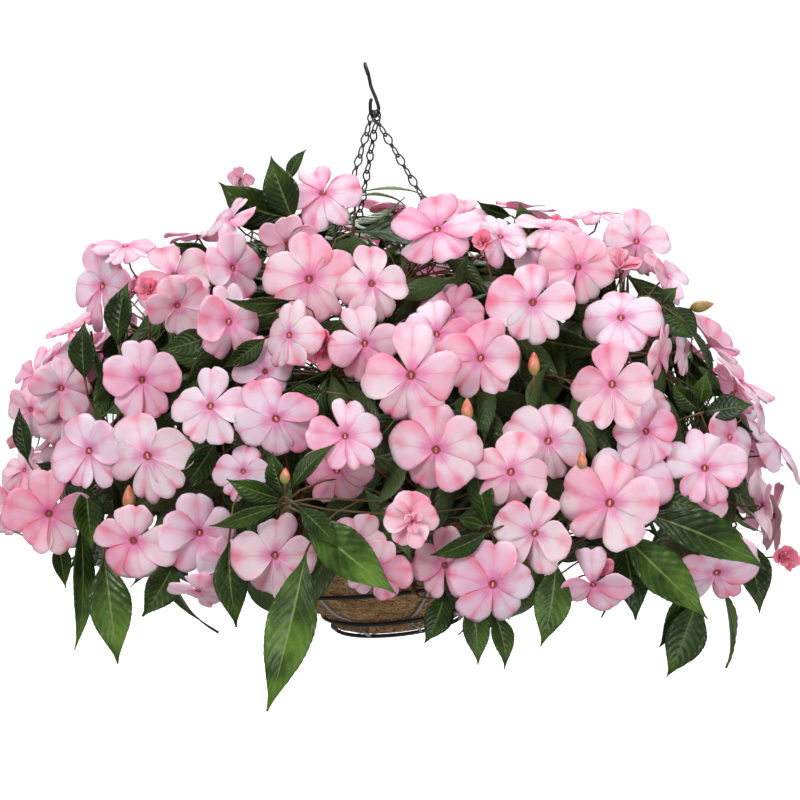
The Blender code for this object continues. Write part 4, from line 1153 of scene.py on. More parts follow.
class Graph:
    # Short names for the nodes that the materials use.

    def __init__(self, tree):
        self.tree, self.link = tree, tree.links.new
        self.sockets = tree.nodes["Principled BSDF"].inputs

    def add(self, kind, *values, **settings):
        # A node with these values or links in its first sockets.
        node = self.tree.nodes.new(kind)
        for label, value in settings.items():
            setattr(node, label, value)
        for socket, value in zip(node.inputs, values):
            if isinstance(value, bpy.types.NodeSocket):
                self.link(value, socket)
            else:
                socket.default_value = value
        return node

    def math(self, operation, *values, clamp=False):
        return self.add("ShaderNodeMath", *values, operation=operation, use_clamp=clamp).outputs[0]

    def times(self, first, second):
        return self.math("MULTIPLY", first, second)

    def scaled(self, value, factor, added, clamp=False):
        return self.math("MULTIPLY_ADD", value, factor, added, clamp=clamp)

    def mix(self, share, first, second):
        node = self.add("ShaderNodeMix", share, data_type="RGBA")
        for socket, colour in ((node.inputs[6], first), (node.inputs[7], second)):
            if isinstance(colour, tuple):
                socket.default_value = (*colour, 1)
            else:
                self.link(colour, socket)
        return node.outputs[2]

    def spread(self, value, low, high, newLow=0.0, newHigh=1.0):
        # The value carried from one range to another, smoothly and within it.
        bounds = (low, high, newLow, newHigh)
        return self.add("ShaderNodeMapRange", value, *bounds, interpolation_type="SMOOTHSTEP").outputs[0]

    def noise(self, where, scale, detail=3.0, rough=0.5, distortion=0.0):
        node = self.add("ShaderNodeTexNoise", where)
        values = {"Scale": scale, "Detail": detail, "Roughness": rough, "Distortion": distortion}
        for label, value in values.items():
            node.inputs[label].default_value = value
        return node.outputs[0]

    def place(self):
        return self.add("ShaderNodeTexCoord").outputs["Object"]

    def stretched(self, where, scale):
        node = self.add("ShaderNodeMapping", where)
        node.inputs["Scale"].default_value = scale
        return node.outputs[0]

    def uv(self):
        source = self.add("ShaderNodeUVMap", uv_map="UVMap").outputs[0]
        node = self.add("ShaderNodeSeparateXYZ", source)
        return source, node.outputs[0], node.outputs[1]

    def attribute(self, name):
        return self.add("ShaderNodeAttribute", attribute_name=name).outputs["Fac"]

    def finish(self, colour, height, strength, distance):
        # The colour and the relief that a material ends with.
        self.link(colour, self.sockets["Base Color"])
        node = self.add("ShaderNodeBump")
        node.inputs["Strength"].default_value = strength
        node.inputs["Distance"].default_value = distance
        self.link(height, node.inputs["Height"])
        self.link(node.outputs[0], self.sockets["Normal"])


petalPaint = {
    "pale": (0.955, 0.66, 0.805),
    "warm": (0.955, 0.64, 0.725),
    "blush": (0.90, 0.235, 0.385),
    "stripe": (0.87, 0.11, 0.19),
    "flush": (0.84, 0.15, 0.37),
    "back": (0.95, 0.53, 0.64),
    "eye": (0.50, 0.070, 0.095),
    "young": (0.82, 0.15, 0.24),
}


def petalMaterial():
    material, graph = newMaterial(
        "petal_skin",
        Roughness=0.58,
        Subsurface_Weight=0.50,
        Subsurface_Scale=0.004,
        Subsurface_Radius=(1.0, 0.36, 0.48),
        Specular_IOR_Level=0.28,
    )
    times, scaled, spread, mix = graph.times, graph.scaled, graph.spread, graph.mix
    source, along, across = graph.uv()
    tint, where = graph.attribute("tint"), graph.place()
    aside = graph.math("ABSOLUTE", across)
    # Fine veins fan out from the eye: a noise stretched along the petal
    veins = graph.noise(graph.stretched(source, (1.6, 22.0, 1.0)), 1.0, 3.0, 0.55, 0.35)
    clouds = graph.noise(where, 46.0, 3.0, 0.55)
    broad = graph.noise(where, 19.0, 2.0, 0.5)
    # The outer half and the rim carry a soft blush, in patches
    blush = times(spread(along, 0.25, 1.0, 0.3, 1.0), spread(clouds, 0.40, 0.66))
    rim = graph.math("MAXIMUM", spread(aside, 0.86, 1.0, 0.0, 0.65), spread(along, 0.95, 1.0, 0.0, 0.30))
    rim = times(rim, spread(broad, 0.40, 0.60, 0.10, 1.0))
    blush = scaled(blush, 0.40, rim, clamp=True)
    blush = scaled(spread(broad, 0.43, 0.66), 0.48, blush, clamp=True)
    colour = mix(spread(tint, 0.15, 0.50), petalPaint["pale"], petalPaint["warm"])
    colour = mix(blush, colour, petalPaint["blush"])
    # A stripe runs down the groove, strongest toward the notch: a fine line in a soft band
    width = scaled(graph.noise(where, 90.0, 2.0), 0.66, -0.06)
    stripe = graph.math("SUBTRACT", 1.0, graph.math("DIVIDE", aside, width, clamp=True), clamp=True)
    reach = scaled(spread(along, 0.30, 0.95), 0.80, 0.14)
    stripe = times(times(stripe, reach), spread(clouds, 0.30, 0.60, 0.2, 1.0))
    line = times(spread(aside, 0.012, 0.055, 1.0, 0.0), spread(along, 0.0, 0.5, 0.15, 0.55))
    stripe = graph.math("MAXIMUM", stripe, line)
    # One edge of a petal is often salmon for most of its length
    flank = times(spread(across, 0.35, 0.95), spread(broad, 0.46, 0.54))
    stripe = scaled(flank, 0.62, stripe, clamp=True)
    colour = mix(times(stripe, 0.80), colour, petalPaint["stripe"])
    # A mauve flush round the eye, drawn out along the veins and the groove
    edge = scaled(veins, 0.50, times(aside, -0.14))
    flush = spread(graph.math("SUBTRACT", along, edge), -0.08, 0.26, 1.0, 0.0)
    colour = mix(times(flush, 0.72), colour, petalPaint["flush"])
    eye = spread(graph.math("SUBTRACT", along, times(veins, 0.06)), 0.0, 0.035, 1.0, 0.0)
    colour = mix(eye, colour, petalPaint["eye"])
    colour = mix(spread(veins, 0.55, 0.75, 0.0, 0.18), colour, petalPaint["flush"])
    # The back of a petal is plainer, and young petals are deeper
    colour = mix(times(graph.attribute("under"), 0.60), colour, petalPaint["back"])
    colour = mix(spread(tint, 0.50, 0.95, 0.0, 0.82), colour, petalPaint["young"])
    graph.finish(colour, scaled(veins, 0.8, clouds), 0.22, 0.0010)
    return material


leafPaint = {
    "deep": (0.0060, 0.0165, 0.0016),
    "green": (0.023, 0.055, 0.006),
    "bright": (0.150, 0.290, 0.036),
    "rib": (0.22, 0.29, 0.085),
    "under": (0.060, 0.100, 0.030),
    "veins": 10.0,
    "sweep": (0.10, 0.15),
}


def leafMaterial():
    material, graph = newMaterial(
        "leaf_skin", Roughness=0.34, Subsurface_Weight=0.04, Subsurface_Scale=0.003, Specular_IOR_Level=0.26
    )
    times, scaled, spread, mix = graph.times, graph.scaled, graph.spread, graph.mix
    _, along, across = graph.uv()
    tint, where = graph.attribute("tint"), graph.place()
    aside = graph.math("ABSOLUTE", across)
    clouds = graph.noise(where, 34.0, 3.0, 0.55)
    base = mix(spread(clouds, 0.35, 0.68), leafPaint["deep"], leafPaint["green"])
    bright = mix(spread(clouds, 0.3, 0.75), leafPaint["green"], leafPaint["bright"])
    lively = scaled(spread(along, 0.15, 0.95), 0.30, tint)
    colour = mix(spread(lively, 0.30, 1.05), base, bright)
    # Side veins leave the rib and curve forward to the edge, with dark green between
    near, far = leafPaint["sweep"]
    bent = times(aside, scaled(aside, far, near))
    wave = times(graph.math("SUBTRACT", along, bent), math.tau * leafPaint["veins"])
    wave = graph.math("SINE", wave)
    crease = spread(aside, 0.0, 0.07, 1.0, 0.0)
    rib = spread(scaled(along, 0.055, aside), 0.045, 0.095, 1.0, 0.0)
    rib = times(rib, spread(along, 0.70, 1.0, 1.0, 0.2))
    colour = mix(spread(wave, -1.0, 0.4, 0.14, 0.0), colour, leafPaint["deep"])
    colour = mix(times(spread(wave, 0.88, 1.0), 0.11), colour, leafPaint["rib"])
    colour = mix(times(rib, scaled(tint, 0.6, 0.30)), colour, leafPaint["rib"])
    colour = mix(times(graph.attribute("under"), 0.75), colour, leafPaint["under"])
    cells = graph.noise(where, 420.0, 2.0)
    quilt = scaled(wave, -0.40, times(crease, -0.6))
    graph.finish(colour, scaled(cells, 0.12, quilt), 0.42, 0.0010)
    graph.link(spread(cells, 0.3, 0.8, 0.24, 0.42), graph.sockets["Roughness"])
    return material


def stemMaterial():
    material, graph = newMaterial("stem_skin", Roughness=0.42, Subsurface_Weight=0.06)
    where = graph.place()
    blotches = graph.spread(graph.noise(where, 40.0, 3.0, 0.6), 0.3, 0.7)
    red = graph.mix(blotches, (0.115, 0.022, 0.014), (0.20, 0.060, 0.028))
    green = graph.mix(blotches, (0.030, 0.055, 0.010), (0.070, 0.090, 0.020))
    colour = graph.mix(graph.attribute("tint"), green, red)
    graph.finish(colour, graph.noise(where, 700.0, 2.0), 0.3, 0.0004)
    return material


def antherMaterial():
    material, graph = newMaterial("anther_cap", Roughness=0.6)
    grains = graph.noise(graph.place(), 900.0, 2.0)
    colour = graph.mix(graph.spread(grains, 0.35, 0.65), (0.78, 0.44, 0.36), (0.64, 0.22, 0.17))
    brown = graph.spread(graph.attribute("tint"), 0.3, 0.9, 0.0, 0.85)
    graph.finish(graph.mix(brown, colour, (0.20, 0.095, 0.04)), grains, 0.4, 0.0003)
    return material


def budMaterial():
    # Buds: orange-red toward the tip, green at the foot, along the first UV axis.
    material, graph = newMaterial("bud_skin", Roughness=0.42, Subsurface_Weight=0.08)
    along = graph.uv()[1]
    streaks = graph.noise(graph.stretched(graph.place(), (1.0, 1.0, 0.4)), 260.0, 2.0)
    patches = graph.spread(streaks, 0.35, 0.65)
    red = graph.mix(patches, (0.62, 0.13, 0.085), (0.70, 0.29, 0.17))
    green = graph.mix(patches, (0.20, 0.22, 0.05), (0.36, 0.25, 0.08))
    graph.finish(graph.mix(graph.spread(along, 0.12, 0.55), green, red), streaks, 0.3, 0.0004)
    return material


# Flowers

flowerLook = {
    "rows": 9,
    "columns": 17,
    "throat": 0.036,
    "thickness": 0.00045,
    "regular": ((0, 74, 146, 214, 286), (47, 48, 41, 41, 48)),
    "winged": ((0, 88, 156, 204, 272), (42, 54, 34, 34, 54)),
    "lengths": (0.565, 0.550, 0.545, 0.545, 0.550),
    "notches": (0.11, 0.035, 0.065, 0.065, 0.035),
    "skews": (0.0, 0.07, 0.02, -0.02, -0.07),
    "notchWidth": 0.13,
    "corners": (1.7, 4.4),
    "lobes": 0.06,
    "fold": 0.08,
    "curlBack": 0.045,
    "arc": 0.060,
    "roll": 0.040,
    "ripple": 0.018,
    "crimp": 0.017,
    "rise": 0.085,
    "bends": ((0.62, -0.08), (1.15, 0.22), (1.40, 0.75)),
    "smallest": 0.042,
    "tints": ((0.0, 0.62), (0.55, 0.82), (0.80, 1.0)),
    "capHalf": (0.044, 0.019),
    "spurReach": 0.26,
}


def petalSheet(item, index, place, length, lift, rng, bend, cupping):
    # One heart-shaped petal, a fan of lines from the throat. Along it, u runs from the throat to
    # the rim; across it, v from edge to edge, so that a point's turn from the petal's middle is v
    # times the half turn. Reach: u times a rounded end less a notch. Profile: an arc that leaves
    # the throat steeply and flattens toward the rim. Section: a slight groove, edges curled back.
    look = flowerLook
    width = item["width"]
    turn, halfTurn = place
    u = np.linspace(0.0, 1.0, look["rows"])[:, None] ** 0.85
    s = np.linspace(-1, 1, look["columns"])
    v = np.sin(math.pi / 2 * np.sign(s) * np.abs(s) ** 1.25)[None, :]
    away = np.abs(v)
    notch = look["notches"][index] * rng.uniform(0.3, 1.6)
    skew = look["skews"][index] + rng.normal(0, 0.05)
    corners, lobes = rng.uniform(*look["corners"], 2), rng.normal(0, look["lobes"], 2)
    corner = np.where(v < 0, *corners)
    ends = 0.42 + 0.58 * np.sqrt(np.clip(1 - away**corner, 0, 1))
    ends = ends * (1 + skew * v + np.where(v < 0, *lobes) * 4 * away * (1 - away))
    ends = ends - notch * np.exp(-away / look["notchWidth"])
    phases = rng.uniform(0, math.tau, 4)
    frill = np.sin(6 * v + phases[0]) + 0.7 * np.sin(12 * v + phases[1])
    reach = (look["throat"] + (length - look["throat"]) * u * (ends + look["crimp"] * frill * u**2)) * width
    halves = halfTurn * rng.uniform(0.80, 1.06) + rng.normal(0, 0.06, 2)
    sweep = v * np.where(v < 0, *halves)
    steps = np.linspace(0, 0.6 * width, 40)
    angle = bend[1] + (bend[0] - bend[1]) * np.exp(-steps / (look["rise"] * width))
    out = np.concatenate(([0], np.cumsum(np.cos(angle[:-1]) * np.diff(steps))))
    rise = np.concatenate(([0], np.cumsum(np.sin(angle[:-1]) * np.diff(steps))))
    height = np.interp(reach, steps, rise) - 0.05 * width
    height = height + lift * width * (u**0.8)
    rank = reach * u
    height = height + look["fold"] * rng.uniform(0.0, 2.0) * rank * np.minimum(away, 0.40) * (0.4 + 0.6 * u)
    edges = np.clip(away - 0.45, 0, 1) ** 1.5
    height = height - look["curlBack"] * rng.uniform(0.0, 1.8) * rank * edges * 2.2
    height = height - rng.uniform(-0.04, 0.16) * rank * u**3 + rng.normal(0, look["arc"]) * rank * away**2
    height = height + rng.normal(0, look["roll"]) * width * v * u + cupping * width * away**2 * u
    height = height + look["ripple"] * width * np.sin(4.2 * v + phases[2]) * u**2
    height = height + look["ripple"] * 0.45 * width * np.sin(9.0 * v + phases[3]) * u**4
    reach = np.interp(reach, steps, out)
    outward = item["top"] * math.cos(turn) + np.cross(item["top"], item["heading"]) * math.sin(turn)
    aside = np.cross(outward, item["heading"])
    grid = (
        item["centre"]
        + (reach * np.cos(sweep))[..., None] * outward
        + (reach * np.sin(sweep))[..., None] * aside
        + height[..., None] * item["heading"]
    )
    places = np.stack(np.broadcast_arrays(u * np.ones_like(v), v * np.ones_like(u)), axis=2)
    return grid, places


def gridNormals(grid):
    # The unit normal at each point of a grid, from its neighbours' differences.
    normals = np.cross(np.gradient(grid, axis=1), np.gradient(grid, axis=0))
    return normals / np.maximum(np.linalg.norm(normals, axis=2), 1e-12)[..., None]


def addSheet(pile, grid, places, thickness, material, tint):
    # A thin closed shell: the grid and its copy behind it, joined round the rim.
    rows, columns = grid.shape[:2]
    normals = gridNormals(grid)
    front = grid + normals * thickness / 2
    back = grid - normals * thickness / 2
    verts = np.concatenate((front.reshape(-1, 3), back.reshape(-1, 3)))
    both = np.concatenate((places.reshape(-1, 2), places.reshape(-1, 2)))
    under = np.concatenate((np.zeros(rows * columns), np.ones(rows * columns)))
    faces = shellFaces(rows, columns)
    pile.add(verts, (faces,), material, both, tint, under)


def addBloom(pile, item, rng):
    # Five petals overlapping by turns, the cap of anthers in the eye, and the spur behind. Some
    # flowers are regular, others have broad wings over narrow lower petals. Half-open ones are
    # cupped round a second whorl, and the smallest round a third.
    look = flowerLook
    young = item["kind"] == "young"
    small = young and item["width"] < look["smallest"]
    bend = look["bends"][int(young) + int(small)]
    tint = rng.uniform(*look["tints"][int(young) + int(small)])
    layers = []
    if young:
        layers.append((0, 0.98, bend, 1.20, 0.08))
        layers.append((36, 0.66, (1.50, 0.95), 1.25, 0.14))
        if small:
            layers.append((10, 0.50, (1.55, 1.30), 1.35, 0.14))
    else:
        layers.append((0, 1.0, (bend[0], bend[1] + rng.normal(0, 0.15)), 1.0, rng.normal(0.0, 0.025)))
    wings = 0.0 if young else rng.uniform(0, 1)
    turns, halves = (1 - wings) * np.array(look["regular"]) + wings * np.array(look["winged"])
    for start, scale, curl, spread, cupping in layers:
        for index, turn in enumerate(turns):
            if start and index % 2:
                continue
            grid, places = petalSheet(
                item,
                index,
                (math.radians(turn + start) + rng.normal(0, 0.06), math.radians(halves[index] * spread)),
                look["lengths"][index] * scale * rng.uniform(0.90, 1.07),
                petalPlan["lifts"][index] * 0.8,
                rng,
                (curl[0], curl[1] + rng.normal(0, 0.16)),
                cupping,
            )
            addSheet(pile, grid, places, look["thickness"], 0, tint)
    width, heading, top = item["width"], item["heading"], item["top"]
    eye = item["centre"] - heading * 0.034 * width - top * 0.008 * width
    cap = knobMesh(eye, top + heading * 0.5, heading, np.array(look["capHalf"]) * width)
    pile.add(*cap, 1, tint=rng.uniform(0, 1))
    foot = item["centre"] - heading * 0.055 * width
    pile.add(*knobMesh(foot, heading, top, np.array((0.022, 0.046)) * width, 4, 8), 0, tint=tint)
    reach = look["spurReach"] * width
    bow = foot - heading * reach * 0.45
    leaving = foot - heading * reach * 0.3 - top * reach * 0.1
    spur = curve(foot, leaving, bow - top * reach * 0.7, bow - top * reach, 7)
    pile.add(*tubeMesh(spur, np.linspace(0.018, 0.006, 7) * width, 5), 2, tint=0.9)


def addBud(pile, item):
    # A pointed bud: circles whose radius is a skewed sine along its length.
    axis, half = item["top"], item["width"] * 0.5
    t = np.linspace(0.02, 1, 9)
    path = item["centre"] + axis * half * (2 * t - 1)[:, None]
    radii = half * 0.46 * np.sin(math.pi * t**0.75) ** 0.8 + 0.0004
    verts, faces = tubeMesh(path, radii, 8)
    along = np.concatenate((np.repeat(t, 8), (0.0, 1.0))) * item.get("ripe", 1.0)
    pile.add(verts, faces, 3, np.stack((along, along * 0), axis=1))


# Leaves

leafLook = {
    "fine": (45, 9),
    "plain": (17, 7),
    "thickness": 0.0007,
    "stations": (
        ((0, 0.02), (0.08, 0.17), (0.22, 0.63), (0.42, 1.0))
        + ((0.62, 0.86), (0.78, 0.49), (0.90, 0.17), (1, 0.0))
    ),
    "teeth": 22,
    "toothDepth": 0.045,
    "quilt": 0.020,
    "wave": 0.030,
    "tipDroop": 0.05,
}


def leafSheet(item, rows, columns, rng):
    # One blade. Along it, u runs from base to tip; across it, v from edge to edge. Half-width:
    # a smooth curve through the stations, with teeth. Height: the arch, the fold along the rib,
    # the swell between side veins and a slow wave of the edges.
    look = leafLook
    base, tip = item["base"], item["tip"]
    length = np.linalg.norm(tip - base)
    axis = (tip - base) / length
    side = unit(item["side"] - axis * (item["side"] @ axis))
    face = np.cross(side, axis)
    u = np.linspace(0, 1, rows)[:, None]
    v = np.linspace(-1, 1, columns)[None, :]
    away = np.abs(v)
    shape = smoothCurve(look["stations"], 200)
    half = np.clip(np.interp(u, shape[:, 0], shape[:, 1]), 0, 1) * item["width"] / 2
    if rows > 20:
        teeth = (u * look["teeth"]) % 1.0
        half = half * (1 + look["toothDepth"] * (teeth - 0.5) * away**6)
    half = np.maximum(half, 0.0004)
    arch = item["arch"] * length * 4 * u * (1 - u)
    fold = half * leafPlan["fold"] * away**1.3 * rng.uniform(0.8, 1.6)
    near, far = leafPaint["sweep"]
    sweep = u - away * (near + far * away)
    swell = np.abs(np.sin(math.pi * leafPaint["veins"] * sweep))
    quilt = look["quilt"] * item["width"] * swell * away**0.5 if rows > 20 else 0.0
    waves = np.sin(9 * u + rng.uniform(0, math.tau) + 1.6 * np.sign(v))
    wave = look["wave"] * item["width"] * waves * away**2
    droop = -look["tipDroop"] * length * np.clip((u - 0.7) / 0.3, 0, 1) ** 2
    height = arch + fold + (quilt - 0.01 * item["width"]) * (half > 0.001) + wave + droop
    across = v * half
    bend = rng.normal(0, 0.02) * length * np.sin(math.pi * u)
    grid = base + (u * length)[..., None] * axis + (across + bend)[..., None] * side
    grid = grid + height[..., None] * face
    places = np.stack((u * np.ones_like(v), v * np.ones_like(u)), axis=2)
    return grid, places


def addLeaf(pile, item, rng):
    rows, columns = leafLook["fine"] if item.get("fine") else leafLook["plain"]
    grid, places = leafSheet(item, rows, columns, rng)
    addSheet(pile, grid, places, leafLook["thickness"], 0, item.get("tint", rng.uniform(0.05, 0.55)))


def addStalk(pile, item):
    # A flower's or leaf's stalk: the part's own curve, swelling where it leaves the stem.
    count = 8
    path = curve(*item["stalk"], count)
    t = np.linspace(0, 1, count)
    radii = stalkPlan["radius"] * (0.62 + 0.75 * np.exp(-t / 0.10) + 0.20 * np.exp(-(1 - t) / 0.08))
    pile.add(*tubeMesh(path, radii, 6), 0, tint=0.35 if item["kind"] == "leaf" else 0.85)


def addStem(pile, path):
    # A fleshy stem, a little thicker at each of its joints.
    count = 60
    smooth = smoothCurve(path, count)
    t = np.linspace(0, 1, count)
    radii = stemPlan["radius"] + (stemPlan["tipRadius"] - stemPlan["radius"]) * t
    radii = radii * (1 + 0.16 * np.exp(-(((t * 9) % 1.0 - 0.5) / 0.12) ** 2))
    pile.add(*tubeMesh(smooth, radii, 8), 0, tint=0.25 + 0.5 * np.concatenate((np.repeat(t, 8), (0.0, 1.0))))


# Growth that only the looks have: two thin leaves seen edge-on between the chains, flat
# flowers on the far side sunk below the skyline, and leaves that close the gaps

strandPlan = {
    "listed": (352, 202),
    "lines": ((359.5, 192, 429, 195, 0.062), (358, 196.5, 406, 204, 0.095)),
    "width": 0.0085,
    "lean": 0.28,
    # The strands' tint is the brightest green: partly their own pale colour, partly painted highlight for the
    # sheen along their edge-on blades.
    "tint": 0.95,
}


def drawStrands(plant):
    # The part's one wide leaf between the chains becomes two narrow ones, arched and edge-on.
    plan = strandPlan
    old = next(item for item in plant.items if item.get("listed", (0, 0))[:2] == plan["listed"])
    plant.items = [item for item in plant.items if item is not old]
    far, spot = np.linalg.norm(old["base"] - eyePoint), old["stalk"][0]
    # Their brightest green is partly painted highlight, for the sheen along the edge-on blades.
    old.update(side=toward - plan["lean"] * viewUp, width=plan["width"], tint=plan["tint"])
    for across, down, tipAcross, tipDown, arch in plan["lines"]:
        base, tip = (eyePoint + sightLine(*place) * far for place in ((across, down), (tipAcross, tipDown)))
        stalk = (spot, spot + (base - spot) * 0.3, base - unit(tip - base) * 0.008, base)
        plant.items.append(dict(old, base=base, tip=tip, arch=arch, stalk=stalk))


movePlan = {
    "sky": 214,
    "flat": 0.95,
    "sink": np.array((0, 0, -0.022)),
    "back": (712, 310),
    "tuck": np.array((-0.030, 0.012, -0.024)),
    "away": -0.45,
    "wider": 1.12,
    "small": (241, 178),
    "smaller": 0.6,
    "greenBud": (702, 306),
    "ripe": 0.35,
    "whorlBud": (285, 476),
    "bend": 0.012,
}


def sinkFlat(plant):
    # Upturned flowers beyond the crown go down with the end of their stalks, and one that would
    # show its back against the white is tucked in. The other flowers at the back open wider, one
    # seen from behind stays small, one bud stands out sideways, still green, and the bud of the
    # whorl of leaves in front stands on a short stalk.
    plan = movePlan
    for item in plant.items:
        listed = item.get("listed", (0, 0))[:2]
        first, leaving, coming, last = item["stalk"]
        if listed == plan["small"]:
            item["width"] *= plan["smaller"]
        if listed == plan["greenBud"]:
            top = item["heading"]
            foot = item["centre"] - top * item["width"] * 0.42
            item.update(top=top, ripe=plan["ripe"], stalk=(first, leaving, foot - top * plan["bend"], foot))
        if listed == plan["whorlBud"]:
            item["stalk"] = (first, leaving, last + (coming - last) * 0.3 - toward * plan["bend"], last)
        if item["kind"] not in ("open", "young") or "listed" in item:
            continue
        across, down = seenAt(item["centre"])
        move = plan["sink"] if item["heading"][2] > plan["flat"] and down < plan["sky"] else None
        if math.hypot(across - plan["back"][0], down - plan["back"][1]) < 4:
            move = plan["tuck"]
        if move is not None:
            item.update(centre=item["centre"] + move, stalk=(first, leaving, coming + move, last + move))
        elif item["heading"] @ toward < plan["away"]:
            item["width"] *= plan["wider"]


bloomPlan = {
    "tries": 1100,
    "widths": (0.056, 0.072),
    "rounds": ((46, -0.9, -0.42, (-0.002, 0.012)), (24, -0.42, 0.12, (0.008, 0.024))),
    "depth": 1.12,
    "sky": 236,
    "spacing": 0.050,
    "overlap": 0.0035,
    "turn": 0.25,
    "rise": 0.25,
    "spin": 0.35,
    "seed": 17,
}


def growBlooms(plant, rng):
    # More flowers, each tied to the nearest stem, where there is room for them on the mound: a
    # round of them over the back, and one set deeper round the sides.
    plan = bloomPlan
    grown = 0
    for wanted, low, high, insets in plan["rounds"]:
        goal = grown + wanted
        for _ in range(plan["tries"]):
            polar, azimuth = math.acos(1 - plan["depth"] * rng.random()), rng.uniform(0, math.tau)
            centre, outward = moundPoint(polar, azimuth, rng.uniform(*insets))
            crowded = plant.room(centre) < plan["spacing"]
            if grown == goal or crowded or not low < outward @ toward < high:
                continue
            heading, top = facing(outward, plan, rng)
            item = dict(kind="open", centre=centre, heading=heading, top=top, notched=False)
            item["width"] = rng.uniform(*plan["widths"])
            shows = seenAt(centre)[1] <= plan["sky"]
            if shows or plant.thicket.met(bodyShape(item, -plan["overlap"])):
                continue
            node, index, spot, rise, span = plant.closestSpot(centre)
            foot, leaving = stalkEnd(item)
            stalk = (spot, spot + rise * span * 0.3, foot + leaving * span * 0.3, foot)
            item.update(node=node, spot=index, stalk=stalk)
            plant.tie(item)
            grown += 1
    return grown


closePlan = {
    "inset": 0.012,
    "arches": (0.03, 0.09),
    "innerSpreads": (0.8, 1.5),
    "innerLengths": (0.055, 0.090),
    "innerWidths": (0.28, 0.38),
    "innerTurns": 3,
    # Tints of the inner leaves: the darkest greens, painted shade inside the mound
    "innerShadeTints": (0.0, 0.25),
    "tilt": 0.15,
    "rise": 0.15,
    "droop": 0.12,
    "petiole": 0.7,
    "bend": 0.2,
    "views": ((0, 10), (90, 5), (180, 5), (270, 5), (0, 88), (45, 30), (135, 30), (225, 30), (315, 30)),
    "reach": 0.36,
    "pixel": 0.018,
    "coverDepth": 0.050,
    "coverInset": 0.026,
    "coverInsets": (0.018, 0.050),
    "coverTries": 5,
    "coverLengths": (0.050, 0.088),
    "coverWidths": (0.28, 0.38),
    "coverTints": (0.0, 0.4),
    "coverLow": 0.050,
    "longestStalk": 0.075,
    "window": ((300, 448), (574, 665)),
    "seed": 29,
}


def inWindow(points):
    # Whether a leaf would hide the strip of the basket that shows at the front.
    across, down = seenAt(points)
    (left, right), (top, low) = closePlan["window"]
    front = points[:, 1] < basketPlan["base"][1]
    return bool((front & (across > left) & (across < right) & (down > top) & (down < low)).any())


def growInner(plant, rng):
    # Short leaves all along the stems, so that the inside of the mound is dense and dark: their crowding
    # casts real shade, and their darker greens are painted shade.
    plan = closePlan
    grown = 0
    for index in range(stemPlan["spotCount"]):
        for node, spots in enumerate(plant.spots):
            if index in plant.taken[node]:
                continue
            start = rng.uniform(0, math.tau)
            for attempt in range(plan["innerTurns"]):
                turn = start + attempt * math.tau / plan["innerTurns"]
                spread, length = rng.uniform(*plan["innerSpreads"]), rng.uniform(*plan["innerLengths"])
                leaf = leafWay(*spots[index], turn, spread, length, plan)
                _, base, tip = leaf
                outside = moundLevel(tip[None], plan["inset"])[0] > 1
                if outside or inWindow(np.stack((base, (base + tip) / 2, tip))):
                    continue
                item = stemLeaf(*spots[index], *leaf, rng.normal(0, plan["tilt"], 3), plan["bend"])
                item["arch"] = rng.uniform(*plan["arches"])
                item.update(width=length * rng.uniform(*plan["innerWidths"]), node=node, spot=index)
                if plant.thicket.met(bodyShape(item, -0.0003)):
                    continue
                # The inner leaves take the darkest greens: painted shade inside the mound.
                item["tint"] = rng.uniform(*plan["innerShadeTints"])
                plant.add(item)
                grown += 1
                break
    return grown


def coverTree(plant):
    # One search tree over the basket and every leaf and flower grown so far.
    shapes = [bodyShape(item) for item in plant.items] + guardShapes()[:1]
    verts = np.concatenate([verts for verts, _ in shapes])
    starts = np.cumsum([0] + [len(verts) for verts, _ in shapes])
    faces = [tuple(v + start for v in face) for (_, part), start in zip(shapes, starts) for face in part]
    return BVHTree.FromPolygons(verts.tolist(), faces)


def hangLeaf(plant, item):
    # Ties a leaf to the nearest stem by a short stalk, where its blade clears what is there.
    base, tip = item["base"], item["tip"]
    corners = np.stack((base, tip, (base + tip) / 2))
    low = basketPlan["base"][2] + closePlan["coverLow"]
    outside = moundLevel(corners, closePlan["coverInset"]) > 1
    if outside.any() or (corners[:, 2] < low).any() or inWindow(corners):
        return False
    node, index, spot, rise, span = plant.closestSpot(base)
    if span > closePlan["longestStalk"] or plant.thicket.met(bodyShape(item, -0.0002)):
        return False
    stalk = (spot, spot + rise * span * 0.3, base + unit(base - tip) * span * 0.2, base)
    item.update(node=node, spot=index, stalk=stalk)
    plant.tie(item)
    return True


